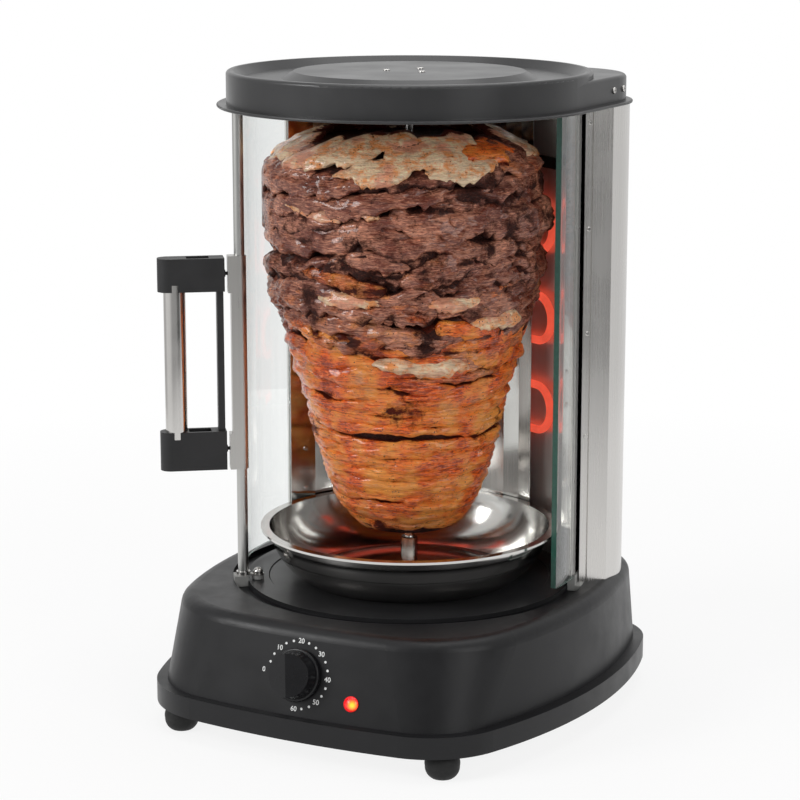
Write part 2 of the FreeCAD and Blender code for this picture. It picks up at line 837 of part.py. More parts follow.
def gland_place():
    """The middle of the mains inlet on the outside of the rear wall, and the way out there."""
    height = float(skirt_top) + float(s.gland_lift)
    share = (height - float(skirt_top)) / float(s.wall_height)
    rear = float(s.base_rear) - float(s.ledge_rear) - float(s.lean_rear) * share
    arc = float(s.base_front_arc) - float(s.ledge_front) - float(s.lean_front) * share
    swing = math.asin(float(s.gland_side) / arc)
    outward = vec(-math.sin(swing), math.cos(swing))
    return vec(0, rear - arc, height) + outward * arc, outward


def make_bottom_plate():
    inset = float(s.base_wall) + float(s.slide_gap)
    plate = prism(skirt_wire(inset, s.foot_height), s.bottom_plate_thickness)
    for x, y in boss_spots() + foot_spots():
        plate = plate.cut(Part.makeCylinder(
            float(s.screw_radius) + float(s.fit_gap), 3 * float(s.bottom_plate_thickness),
            vec(x, y, float(s.foot_height) - float(s.bottom_plate_thickness))))
    shaped("bottom_plate", plate)


def make_feet():
    corners = [
        (s.screw_radius + s.fit_gap, s.foot_height),
        (s.screw_radius + s.fit_gap, s.foot_height * 0.45),
        (s.screw_head_radius + s.slide_gap, s.foot_height * 0.45),
        (s.screw_head_radius + s.slide_gap, 0),
        (s.foot_sole_radius, 0, s.foot_height * 0.52),
        (s.foot_radius, s.foot_height * 0.47, s.foot_height * 0.5),
        (s.foot_neck_radius, s.foot_height),
    ]
    foot = turned("foot", corners)
    doc.recompute()
    shaped("feet", copies(foot.Shape, [(vec(x, y), UP) for x, y in foot_spots()]))


def make_bottom_screws():
    screw = screw_shape(s.screw_radius, 15, s.screw_head_radius, s.screw_head_height)
    level = float(s.foot_height)
    shaped("bottom_screws", copies(screw, [(vec(x, y, level), DOWN) for x, y in boss_spots()]))
    seat = level * 0.45
    long_screw = screw_shape(
        s.screw_radius, level - seat + 5, s.screw_head_radius, s.screw_head_height)
    shaped("foot_screws", copies(long_screw, [(vec(x, y, seat), DOWN) for x, y in foot_spots()]))


def plate_screw_spots():
    """Three screws that hold the hearth plate, under the tray."""
    ring = float(s.tray_floor_radius) * 0.6
    return [polar(ring, angle) for angle in (60, 180, 300)]


def make_hearth_plate():
    thick = s.plate_thickness
    rim = plate_radius
    body = turned("hearth_plate", [
        (s.bush_flange_radius + s.slide_gap, plate_inner_top - thick),
        (s.plate_step_radius, plate_inner_top - thick),
        (s.plate_step_radius + s.plate_step, deck - thick),
        (rim - thick, deck - thick),
        (rim - thick, plate_seat),
        (rim, plate_seat),
        (rim, deck),
        (s.plate_step_radius, deck),
        (s.plate_step_radius - s.plate_step, plate_inner_top),
        (s.bush_flange_radius + s.slide_gap, plate_inner_top),
    ])
    for index, (x, y) in enumerate(lead_spots()):
        bored(body, f"lead_hole_{index}", s.lead_radius + s.slide_gap, deck - thick * 2, deck + 1, x, y)
    for index, (x, y) in enumerate(plate_screw_spots()):
        bored(body, f"screw_hole_{index}", s.small_screw_radius + s.fit_gap, plate_seat, deck, x, y)
        bored(body, f"screw_sink_{index}", s.small_head_radius + s.fit_gap,
              plate_inner_top - s.plate_step, deck, x, y)
    node(body, "hearth_plate")
    head = float(s.plate_step) - float(s.fit_gap)
    screw = screw_shape(s.small_screw_radius, 5, s.small_head_radius, head)
    spots = [(vec(x, y, plate_inner_top - s.plate_step), UP) for x, y in plate_screw_spots()]
    shaped("plate_screws", copies(screw, spots))


# The drive

def make_drive():
    bush_low = plate_seat - s.base_wall
    bush = turned("shaft_bush", [
        (s.shaft_radius + s.running_gap, bush_low),
        (s.bush_radius, bush_low),
        (s.bush_radius, plate_seat),
        (s.bush_flange_radius, plate_seat),
        (s.bush_flange_radius, plate_seat + s.bush_flange),
        (s.shaft_radius + s.running_gap, plate_seat + s.bush_flange),
    ])
    node(bush, "shaft_bush")
    case_low = gear_case_top - s.gear_case_height
    case = cylinder("gear_case_body", s.gear_case_radius, case_low, gear_case_top)
    ears = []
    drills = [cylinder("gear_case_bore", s.shaft_radius + s.running_gap, shaft_bottom - s.slide_gap,
                       gear_case_top + OVERCUT)]
    for side in (-1, 1):
        x = s.ear_reach * side
        low = gear_case_top - s.ear_thickness
        ears.append(cylinder("ear", s.ear_radius, low, gear_case_top, x))
        drills.append(cylinder("ear_hole", s.screw_radius + s.fit_gap, low - OVERCUT,
                               gear_case_top + OVERCUT, x))
    webs = box("ear_web", -s.ear_reach, s.ear_reach, -s.ear_radius, s.ear_radius,
               gear_case_top - s.ear_thickness, gear_case_top)
    node(cut("gear_case_cut", fuse("gear_case_fused", case, webs, *ears), *drills), "gear_case")
    node(cylinder("motor", s.motor_radius, case_low - s.motor_height, case_low), "motor_can")
    screw = screw_shape(s.screw_radius, float(s.ear_thickness) + float(s.gear_case_drop) + 2,
                        s.screw_head_radius, s.screw_head_height)
    seat = float(gear_case_top) - float(s.ear_thickness)
    spots = [(vec(side * float(s.ear_reach), 0, seat), DOWN) for side in (-1, 1)]
    shaped("motor_screws", copies(screw, spots))


def make_spit():
    shaft = cylinder("shaft", s.shaft_radius, shaft_bottom, sleeve_bottom + s.shaft_in_sleeve)
    pin_level = sleeve_bottom + s.sleeve_pin_height
    shaft_drill = pin_cutter("shaft_drill", pin_level, s.fit_gap)
    node(cut("drive_shaft_cut", shaft, shaft_drill), "drive_shaft", angle=SLEEVE_PIN_ANGLE)
    bore = s.shaft_radius + s.running_gap
    sleeve = turned("drive_sleeve_body", [
        (bore, sleeve_bottom),
        (s.sleeve_radius, sleeve_bottom),
        (s.sleeve_radius, sleeve_top - s.tray_wall),
        (s.sleeve_radius - s.tray_wall, sleeve_top),
        (bore, sleeve_top),
    ])
    sleeve_drill = pin_cutter("sleeve_drill", pin_level, s.fit_gap)
    node(cut("drive_sleeve_cut", sleeve, sleeve_drill), "drive_sleeve", angle=SLEEVE_PIN_ANGLE)
    node(settled("sleeve_pin_group", pin_cutter("sleeve_pin_body", pin_level, 0)), "sleeve_pin",
         angle=SLEEVE_PIN_ANGLE)
    node(cylinder("rod", s.shaft_radius, rod_bottom, rod_top), "spit_rod")
    plate_low = s.meat_bottom + s.skewer_plate_lift
    plate = turned("skewer_plate_body", [
        (bore, plate_low),
        (s.skewer_plate_radius, plate_low),
        (s.skewer_plate_radius, plate_low + s.skewer_plate_thickness),
        (s.skewer_hub_radius, plate_low + s.skewer_plate_thickness),
        (s.skewer_hub_radius, plate_low + s.skewer_hub_height),
        (bore, plate_low + s.skewer_hub_height),
    ])
    node(plate, "skewer_plate")


def pin_cutter(name, level, gap):
    """A level rod across the drive sleeve."""
    rod = doc.addObject("Part::Cylinder", name)
    length = (s.sleeve_radius - s.slide_gap) * 2
    bind(rod, Radius=s.sleeve_pin_radius + gap, Height=length)
    rod.Placement = FreeCAD.Placement(
        vec(0, length / 2, level), FreeCAD.Rotation(vec(1, 0, 0), 90))
    rod.setExpression("Placement.Base.y", (length / 2).formula)
    rod.setExpression("Placement.Base.z", level.formula)
    return rod


def meat_ring(share, radius_share, lean_share, waist=1.0):
    """One level of the load: a circle that leans away from the spit."""
    x, y = polar(float(s.meat_lean) * lean_share, MEAT_LEAN_ANGLE)
    level = float(s.meat_bottom) + float(meat_height) * share
    radius = float(s.meat_radius) * radius_share * waist
    return Part.Wire(Part.Circle(vec(x, y, level), vec(0, 0, 1), radius).toShape())


def make_meat():
    """Slices stacked on the rod: the wide rings of the layers with a waist between two layers."""
    rings = []
    for index, layer in enumerate(MEAT_LAYERS):
        rings.append(meat_ring(*layer))
        if 0 < index < len(MEAT_LAYERS) - 2:
            following = MEAT_LAYERS[index + 1]
            middle = [(first + second) / 2 for first, second in zip(layer, following)]
            rings.append(meat_ring(*middle, waist=LAYER_WAIST))
    load = Part.makeLoft(rings, True, True)
    top = float(s.meat_bottom) + float(meat_height)
    core = Part.makeCylinder(
        float(s.shaft_radius) + float(s.fit_gap), 2 * top, vec(0, 0, float(s.meat_bottom) - OVERCUT))
    plate_low = float(s.meat_bottom) + float(s.skewer_plate_lift)
    gap = float(s.fit_gap)
    bed = Part.makeCylinder(
        float(s.skewer_plate_radius) + gap, float(s.skewer_plate_thickness) + 2 * gap,
        vec(0, 0, plate_low - gap))
    hub = Part.makeCylinder(
        float(s.skewer_hub_radius) + gap, float(s.skewer_hub_height) + 2 * gap,
        vec(0, 0, plate_low - gap))
    shaped("meat_stack", load.cut(core.fuse(bed).fuse(hub)))


def make_tray():
    floor = plate_inner_top
    wall = s.tray_wall
    rim = s.tray_rim_radius
    lip_inner = rim - s.tray_lip
    top = floor + s.tray_height
    body = turned("drip_tray", [
        (s.tray_hole_radius, floor),
        (s.tray_floor_radius, floor, s.tray_bow),
        (lip_inner, top - wall),
        (rim - wall, top - wall),
        (rim - wall, top - s.tray_lip_turn),
        (rim, top - s.tray_lip_turn),
        (rim, top),
        (lip_inner - wall, top, -(s.tray_bow - wall)),
        (s.tray_floor_radius, floor + wall),
        (s.tray_hole_radius + wall, floor + wall),
        (s.tray_hole_radius + wall, floor + s.tray_collar),
        (s.tray_hole_radius, floor + s.tray_collar),
    ])
    node(body, "drip_tray")


# The casing and the linings

def casing_line():
    """The casing's plan line from its left front edge round the back to its right front edge."""
    side, rear, corner = float(s.case_side), float(s.case_rear), float(s.case_corner)
    left = [(-float(s.case_front_x), float(s.case_front_y)), (-side, float(s.case_fold_y)),
            (-side, rear - corner)]
    right = [(-x, y) for x, y in reversed(left)]
    bend = corner * math.sqrt(0.5)
    left_middle = vec(-side + corner - bend, rear - corner + bend)
    right_middle = vec(side - corner + bend, rear - corner + bend)
    edges = [
        Part.makeLine(vec(*left[0]), vec(*left[1])),
        Part.makeLine(vec(*left[1]), vec(*left[2])),
        Part.Arc(vec(*left[2]), left_middle, vec(-side + corner, rear)).toShape(),
        Part.makeLine(vec(-side + corner, rear), vec(side - corner, rear)),
        Part.Arc(vec(side - corner, rear), right_middle, vec(*right[0])).toShape(),
        Part.makeLine(vec(*right[0]), vec(*right[1])),
        Part.makeLine(vec(*right[1]), vec(*right[2])),
    ]
    return Part.Wire(edges)


def make_casing():
    low, high = float(deck), float(brim_bottom)
    thick = float(s.case_thickness)
    shell = standing_sheet(casing_line(), thick, low - float(s.shoulder_radius), high, False)
    shell = shell.cut(base_block())
    width, reach = float(s.case_tab_width), float(s.case_tab_reach)
    side, rear = float(s.case_side), float(s.case_rear)
    for x, y in tab_spots():
        if abs(x) > side - reach:
            near = side - reach if x > 0 else thick / 2 - side
            tab = Part.makeBox(reach - thick / 2, width, thick, vec(near, y - width / 2, low))
        else:
            tab = Part.makeBox(width, reach - thick / 2, thick, vec(x - width / 2, rear - reach, low))
        shell = shell.fuse(tab)
        shell = shell.cut(Part.makeCylinder(
            float(s.small_screw_radius) + float(s.fit_gap), 3 * thick, vec(x, y, low - thick)))
    shaped("outer_casing", shell)
    screw = screw_shape(
        s.small_screw_radius, float(s.base_wall) + thick + 2, s.small_head_radius, s.small_head_height)
    seat = low - float(s.base_wall)
    shaped("casing_screws", copies(screw, [(vec(x, y, seat), DOWN) for x, y in tab_spots()]))


def jamb_frame(side):
    """The casing's front edge, the way along its front face and the way into the chamber."""
    run = vec(float(s.case_front_x) - float(s.case_side), float(s.case_front_y) - float(s.case_fold_y))
    run.normalize()
    inward = vec(run.y, -run.x)
    edge = vec(s.case_front_x, s.case_front_y)
    if side < 0:
        edge, run, inward = [vec(-item.x, item.y) for item in (edge, run, inward)]
    return edge, run, inward


def jamb_rivet_levels():
    """Three rivets, evenly spaced down the upper part, and one near the foot."""
    top = float(chamber_top) - 14
    pitch = 88
    return [top, top - pitch, top - 2 * pitch, top - 3 * pitch]


def make_jambs():
    thick = float(s.case_thickness)
    low, high = float(deck), float(brim_bottom)
    strips, spots = [], []
    for side in (-1, 1):
        edge, run, inward = jamb_frame(side)
        tip = edge + run * float(s.jamb_reach)
        tail = edge - run * (float(s.jamb_width) - float(s.jamb_reach))
        corners = [tip + inward * thick, tail + inward * thick,
                   tail + inward * 2 * thick, tip + inward * 2 * thick]
        face = Part.Face(Part.makePolygon(corners + corners[:1]))
        face.translate(vec(0, 0, low))
        strip = face.extrude(vec(0, 0, high - low))
        for level in jamb_rivet_levels():
            seat = edge + run * float(s.rivet_inset) + inward * thick + vec(0, 0, level)
            strip = strip.cut(Part.makeCylinder(
                float(s.rivet_radius) + float(s.fit_gap), 4 * thick, seat - inward * thick, inward))
            spots.append((seat, inward * -1))
        strips.append(strip)
    shaped("jamb_strips", Part.makeCompound(strips))
    rivet = Part.makeCylinder(float(s.rivet_head_radius), float(s.rivet_head_height))
    crown = [edge for edge in rivet.Edges if edge.BoundBox.ZMin > float(s.rivet_head_height) - 0.01]
    rivet = rivet.makeFillet(float(s.rivet_head_height) * 0.8, crown)
    rivet = rivet.fuse(Part.makeCylinder(float(s.rivet_radius), thick, vec(0, 0, -thick)))
    tail = Part.makeCylinder(float(s.rivet_head_radius), thick * 0.6, vec(0, 0, -1.6 * thick))
    shaped("jamb_rivets", copies(rivet.fuse(tail), spots))


def lining_points(side):
    points = [polar(float(liner_outer) - float(s.liner_thickness), s.liner_angle),
              (float(s.liner_fold_x), float(s.liner_fold_y)),
              polar(s.slat_radius, s.slat_one_angle), polar(s.slat_radius, s.slat_two_angle)]
    return [(side * x, y) for x, y in points]


def lining_screw_spots():
    """Screws on the flat front leaf of each lining, with heads towards the spit."""
    spots = []
    for side in (-1, 1):
        first, second = lining_points(side)[:2]
        across = vec(second[0] - first[0], second[1] - first[1])
        inward = vec(across.y, -across.x)
        if inward.x * side > 0:
            inward = inward * -1
        inward.normalize()
        middle = vec(*first) + across * 0.6
        for share in LINING_SCREW_SHARES:
            level = float(deck) + float(s.chamber_height) * share
            spots.append((middle + vec(0, 0, level), inward))
    return spots


def make_linings():
    low, high = float(deck), float(chamber_top)
    thick = float(s.liner_thickness)
    screw = screw_shape(s.rivet_radius, 3, s.rivet_head_radius, s.rivet_head_height)
    linings = []
    for side in (-1, 1):
        sheet_side = folded_sheet(lining_points(side), thick, low, high)
        for point, inward in lining_screw_spots():
            if point.x * side > 0:
                sheet_side = sheet_side.cut(Part.makeCylinder(
                    float(s.rivet_radius) + float(s.fit_gap), 8, point + inward * 4, inward * -1))
        linings.append(sheet_side)
    shaped("side_linings", Part.makeCompound(linings))
    shaped("lining_screws", copies(screw, lining_screw_spots()))
    start = float(s.reflector_start)
    shaped("rear_reflector", arc_wall(
        float(liner_outer) - thick, liner_outer, low, high, start, FULL_TURN - 2 * start))
    half = [float(s.guard_half_angle), float(s.guard_mid_angle), float(s.guard_inner_angle)]
    angles = [180 - turn for turn in half] + [180] + [180 + turn for turn in reversed(half)]
    line = [polar(s.guard_radius, angle) for angle in angles]
    shaped("guard_panel", folded_sheet(line, s.guard_thickness, low, high))


# The heater

def heater_levels():
    """The arms' heights from the top one down."""
    pitch = 2 * float(s.heater_bend_radius)
    return [float(s.heater_bottom) + pitch * step for step in reversed(range(HEATER_ARMS))]


def heater_arc(level, start, end):
    points = [polar(s.heater_radius, angle) for angle in (start, (start + end) / 2, end)]
    return Part.Arc(*[vec(x, y, level) for x, y in points]).toShape()


def heater_bend(level, angle, outward):
    """A half turn down to the next arm, in the upright plane that touches the arms' circle."""
    bend = float(s.heater_bend_radius)
    x, y = polar(s.heater_radius, angle)
    tangent = vec(*polar(1, angle + 90)) * outward
    top, low = vec(x, y, level), vec(x, y, level - 2 * bend)
    return Part.Arc(top, vec(x, y, level - bend) + tangent * bend, low).toShape()


def make_heater():
    low_angle, high_angle = 180 - float(s.heater_half_angle), 180 + float(s.heater_half_angle)
    tail = 180 + float(s.heater_tail_angle)
    levels = heater_levels()
    edges = []
    for index, level in enumerate(levels):
        to_right = index % 2 == 0
        start, end = (high_angle, low_angle) if to_right else (low_angle, high_angle)
        if index == 0:
            start = tail
        if index == HEATER_ARMS - 1:
            end = tail
        edges.append(heater_arc(level, start, end))
        if index < HEATER_ARMS - 1:
            edges.append(heater_bend(level, end, -1 if to_right else 1))
    path = Part.Wire(edges)
    x, y = polar(s.heater_radius, tail)
    ring = Part.Circle(vec(x, y, levels[0]), vec(*polar(1, tail + 90)), float(s.heater_tube_radius))
    tube = path.makePipeShell([Part.Wire(ring.toShape())], True, False)
    shaped("heater_element", tube)
    make_heater_fittings(levels, tail)


def make_heater_fittings(levels, tail):
    low, high = float(s.strap_band_bottom), float(s.strap_band_bottom) + float(s.strap_band_height)
    tube_outer = float(s.heater_radius) + float(s.heater_tube_radius)
    band_outer = tube_outer + 0.02
    half = float(s.strap_band_half_angle)
    shaped("heater_strap", arc_wall(band_outer - 1.2, band_outer, low, high, 180 - half, 2 * half))
    bars = []
    inner = band_outer + float(s.support_clear)
    outer = float(liner_outer) - float(s.liner_thickness) - 2 * float(s.support_clear)
    sweep = math.degrees(float(s.support_width) / outer)
    for side in HEATER_SUPPORTS:
        start = 180 + side * float(s.support_half_angle) - sweep / 2
        bars.append(arc_wall(inner, outer, levels[-1] - 12, high + 4, start, sweep))
    shaped("heater_supports", Part.makeCompound(bars))
    blocks, leads = [], []
    for (x, y), level in zip(lead_spots(), (levels[-1], levels[0])):
        height = float(s.terminal_height)
        lead = Part.makeCylinder(
            float(s.lead_radius), level - float(plate_seat) + 2 * float(s.base_wall) + 10,
            vec(x, y, float(plate_seat) - 2 * float(s.base_wall) - 10))
        sweep = math.degrees(float(s.terminal_width) / float(s.heater_radius))
        if level == levels[0]:
            sweep = sweep * 1.6
        inner = float(s.heater_radius) - float(s.terminal_depth) / 2
        block = arc_wall(inner, inner + float(s.terminal_depth), level - height / 2, level + height / 2,
                         tail, sweep)
        blocks.append(block.cut(lead))
        leads.append(lead)
    shaped("heater_terminals", Part.makeCompound(blocks))
    shaped("heater_leads", Part.makeCompound(leads))


# The lid and what hangs from it

def lid_wire(half, rear, corner, level):
    """The lid's plan: a half circle in front and a box with rounded corners behind."""
    half, rear, corner, level = float(half), float(rear), float(corner), float(level)
    bend = corner * (1 - math.sqrt(0.5))
    edges = [
        Part.Arc(vec(-half, 0, level), vec(0, -half, level), vec(half, 0, level)).toShape(),
        Part.makeLine(vec(half, 0, level), vec(half, rear - corner, level)),
        Part.Arc(vec(half, rear - corner, level), vec(half - bend, rear - bend, level),
                 vec(half - corner, rear, level)).toShape(),
        Part.makeLine(vec(half - corner, rear, level), vec(corner - half, rear, level)),
        Part.Arc(vec(corner - half, rear, level), vec(bend - half, rear - bend, level),
                 vec(-half, rear - corner, level)).toShape(),
        Part.makeLine(vec(-half, rear - corner, level), vec(-half, 0, level)),
    ]
    return Part.Wire(edges)


def lid_crown(inset):
    """The round top of the lid as a solid of revolution, its surface moved in by inset."""
    bottom = float(lid_bottom) - (OVERCUT if inset else 0)
    top = float(lid_top)
    radius = float(s.lid_radius) - inset
    crest = float(s.lid_crest_radius) - inset * 0.4
    crest_inner = float(s.lid_crest_radius) - float(s.lid_crest_width) + inset * 0.4
    trough = float(lid_bottom) + float(s.lid_trough_height) - inset
    disc = top - float(s.lid_disc_drop) - inset
    round_drop = radius - crest
    points = [(0, bottom), (radius, bottom), (radius, top - inset - round_drop)]
    profile = [Part.makeLine(vec(points[0][0], 0, points[0][1]), vec(points[1][0], 0, points[1][1])),
               Part.makeLine(vec(points[1][0], 0, points[1][1]), vec(points[2][0], 0, points[2][1]))]
    middle = vec(crest + round_drop * math.sqrt(0.5), 0,
                 top - inset - round_drop + round_drop * math.sqrt(0.5))
    profile.append(Part.Arc(vec(points[2][0], 0, points[2][1]), middle, vec(crest, 0, top - inset)).toShape())
    walk = [(crest, top - inset), (crest_inner, top - inset),
            (float(s.lid_trough_outer) + inset * 0.4, trough),
            (float(s.lid_trough_inner) - inset * 0.4, trough),
            (float(s.lid_disc_radius) - inset * 0.4, disc), (0, disc), (0, bottom)]
    for (x_one, z_one), (x_two, z_two) in zip(walk, walk[1:]):
        profile.append(Part.makeLine(vec(x_one, 0, z_one), vec(x_two, 0, z_two)))
    return Part.Face(Part.Wire(profile)).revolve(vec(), vec(0, 0, 1), FULL_TURN)


def lid_box(inset, low):
    """The box at the back of the lid, without its round middle."""
    top = float(lid_bottom) + float(s.lid_box_height) - inset
    block = prism(lid_wire(
        float(s.lid_radius) - inset, float(s.lid_rear) - inset, float(s.lid_corner) - inset, low), top - low)
    edges = [edge for edge in block.Edges if edge.BoundBox.ZMin > top - 0.01]
    block = block.makeFillet(3.5 - inset, edges)
    middle = Part.makeCylinder(float(s.lid_crest_radius) - inset, top + OVERCUT - low, vec(0, 0, low))
    return block.cut(middle)


def make_lid():
    wall = float(s.lid_wall)
    low = float(lid_bottom)
    shell = lid_crown(0).fuse(lid_box(0, low))
    brim = prism(lid_wire(
        float(s.lid_radius) + float(s.brim_reach), float(s.case_rear) + float(s.brim_reach) / 2,
        float(s.lid_corner) + float(s.brim_reach), brim_bottom), s.brim_height)
    rims = [edge for edge in brim.Edges if abs(edge.BoundBox.ZMax - edge.BoundBox.ZMin) < 0.01]
    brim = brim.makeFillet(float(s.brim_round), rims)
    shell = shell.fuse(brim)
    below = float(brim_bottom) - OVERCUT
    hollow = lid_crown(wall).fuse(lid_box(wall, low - OVERCUT))
    mouth = prism(lid_wire(
        float(s.lid_radius) - wall, float(s.lid_rear) - wall, float(s.lid_corner) - wall, below),
        low - below + 0.5 * wall)
    shell = shell.cut(hollow.fuse(mouth))
    for point, facing in bearing_screw_spots():
        shell = shell.cut(Part.makeCylinder(
            float(s.small_screw_radius) + float(s.fit_gap), 4 * wall, point - vec(0, 0, 2 * wall)))
    for point, facing in lid_screw_spots():
        shell = shell.cut(Part.makeCylinder(
            float(s.small_screw_radius) + float(s.fit_gap), 4 * wall, point - facing * 2 * wall, facing))
    shaped("lid_shell", shell)
    screw = screw_shape(s.small_screw_radius, 12, s.small_head_radius, 1.2)
    shaped("bearing_screws", copies(screw, bearing_screw_spots()))
    side_screw = screw_shape(
        s.small_screw_radius, wall + float(s.case_thickness) + 1.5, s.small_head_radius,
        s.small_head_height)
    shaped("lid_screws", copies(side_screw, lid_screw_spots()))


def bearing_screw_spots():
    level = float(lid_top) - float(s.lid_disc_drop)
    ring = float(s.bearing_screw_ring)
    return [(vec(*polar(ring, angle), level), UP) for angle in (-60, 60, 180)]


def lid_screw_spots():
    """Two screws on each side, the rear one where the lid begins to bend."""
    level = float(lid_bottom) + float(s.lid_screw_height)
    corner = float(s.lid_corner)
    bend_start = float(s.lid_rear) - corner
    spots = []
    for side in (-1, 1):
        for step in (0, 1):
            y = float(s.lid_screw_front) + step * float(s.lid_screw_pitch)
            swing = math.asin(max(0.0, y - bend_start) / corner)
            facing = vec(side * math.cos(swing), math.sin(swing))
            x = side * (float(s.lid_radius) - corner * (1 - math.cos(swing)))
            spots.append((vec(x, y, level), facing))
    return spots


def make_brackets():
    """A Z-shaped bracket on each side that joins the casing's inner face to the lid's inner wall."""
    thick = float(s.case_thickness)
    wall = float(s.lid_wall)
    level = float(brim_bottom) - 0.4
    leg = float(s.bracket_leg)

    def lid_inside(inset, low, height):
        inset = inset + wall
        return prism(lid_wire(float(s.lid_radius) - inset, float(s.lid_rear) - inset,
                              float(s.lid_corner) - inset, low), height)

    def case_inside(inset, low, height):
        inset = inset + thick
        return prism(lid_wire(float(s.case_side) - inset, float(s.case_rear) - inset,
                              float(s.case_corner) - inset, low), height)

    lower = case_inside(0, level - leg, leg).cut(case_inside(thick, level - leg, leg))
    shelf = case_inside(0, level - thick, thick).cut(lid_inside(thick, level - thick, thick))
    upper = lid_inside(0, level - thick, leg).cut(lid_inside(thick, level - thick, leg))
    ring = lower.fuse(shelf).fuse(upper)
    middle = float(s.lid_screw_front) + float(s.lid_screw_pitch) / 2
    length = float(s.bracket_length)
    brackets = []
    for side in (-1, 1):
        reach = float(s.case_side)
        slab = Part.makeBox(reach, length, 4 * leg, vec(
            min(0, side * reach), middle - length / 2, level - 2 * leg))
        bracket = ring.common(slab)
        for point, facing in lid_screw_spots():
            if facing.x * side > 0:
                bracket = bracket.cut(Part.makeCylinder(
                    float(s.small_screw_radius) + float(s.fit_gap), 6 * thick,
                    point - facing * 6 * thick, facing))
        brackets.append(bracket)
    shaped("lid_brackets", Part.makeCompound(brackets))


def make_ceiling():
    thick = s.ceiling_thickness
    ceiling = turned("ceiling_plate", [
        (s.shaft_radius + 1, chamber_top),
        (s.ceiling_radius, chamber_top),
        (s.ceiling_radius, chamber_top + thick * 6),
        (s.ceiling_radius - thick, chamber_top + thick * 6),
        (s.ceiling_radius - thick, chamber_top + thick),
        (s.shaft_radius + 1, chamber_top + thick),
    ])
    node(ceiling, "ceiling_plate")
    bore = s.shaft_radius + s.running_gap
    low = chamber_top + thick
    cup = turned("bearing_cup", [
        (bore, low),
        (s.bearing_cup_radius, low),
        (s.bearing_cup_radius, disc_under),
        (0, disc_under),
        (0, low + s.pin_engagement + s.fit_gap),
        (bore, low + s.pin_engagement + s.fit_gap),
    ])
    for index, (point, facing) in enumerate(bearing_screw_spots()):
        bored(cup, f"cup_hole_{index}", s.small_screw_radius + s.fit_gap, disc_under - 14, disc_under,
              point.x, point.y)
    node(cup, "bearing_cup")
    inner_low = glass_inner - s.slide_gap
    outer_low = s.glass_outer_radius + s.slide_gap
    top = lid_bottom + s.lid_trough_height - s.lid_wall
    track = turned("upper_track", [
        (inner_low - s.track_wall, chamber_top),
        (inner_low, chamber_top),
        (inner_low, top - s.track_crown),
        (outer_low, top - s.track_crown),
        (outer_low, chamber_top),
        (outer_low + s.track_wall, chamber_top),
        (outer_low + s.track_wall, top),
        (inner_low - s.track_wall, top),
    ])
    node(track, "upper_track")


# The door

def make_glass():
    pane = arc_wall(glass_inner, s.glass_outer_radius, glass_low, glass_high,
                    float(s.door_angle) - float(s.glass_sweep), s.glass_sweep)
    shaped("door_glass", pane)


def door_node(thing, label):
    return node(thing, label, angle=s.door_angle)


def door_shaped(label, shape):
    return shaped(label, shape, angle=s.door_angle)


def make_post():
    """A slotted bar on the pane's leading edge, drawn in front and turned to its place."""
    low = deck + s.post_foot
    high = chamber_top - s.post_top_gap
    radius = s.post_radius
    post = Part.makeCylinder(float(radius), float(high) - float(low), vec(0, -float(glass_middle), low))
    slot = arc_wall(
        float(glass_inner) - float(s.fit_gap), float(s.glass_outer_radius) + float(s.fit_gap),
        float(glass_low) - float(s.fit_gap), float(high) + OVERCUT, -8, 8 + 0.05)
    door_shaped("door_post", post.cut(slot))
    ring_low = low - s.ring_height
    ring = cylinder("ring", s.ring_radius, ring_low, low, 0, -glass_middle)
    door_node(settled("post_ring_group", ring), "post_ring")
    half = s.shoe_length / 2
    gap = s.slide_gap
    shoe = arc_block(s.groove_inner_radius + gap, s.groove_outer_radius - gap,
                     groove_floor + gap, ring_low, half)
    door_shaped("door_shoe", shoe)


def arc_block(inner, outer, low, high, half_length, centre=0):
    """A block that bends with the groove, centred on a plan angle."""
    half = math.degrees(float(half_length) / float(outer))
    return arc_wall(inner, outer, low, high, centre - half, 2 * half)


def make_guide_shoes():
    gap = float(s.slide_gap)
    shoes = []
    for angle in GUIDE_SHOE_ANGLES:
        shoe = arc_block(
            float(s.groove_inner_radius) + gap, float(s.groove_outer_radius) - gap,
            float(groove_floor) + gap, deck, float(s.guide_shoe_length) / 2, -angle)
        grip = arc_block(
            float(glass_inner) - 1, float(s.glass_outer_radius) + 4 * float(s.fit_gap),
            deck, float(glass_low) + float(s.guide_shoe_grip), float(s.guide_shoe_length) / 2, -angle)
        slot = arc_block(
            float(glass_inner) - float(s.fit_gap), float(s.groove_outer_radius),
            float(glass_low), float(glass_low) + 2 * float(s.guide_shoe_grip),
            float(s.guide_shoe_length), -angle)
        shoes.append(shoe.fuse(grip).cut(slot))
    door_shaped("guide_shoes", Part.makeCompound(shoes))


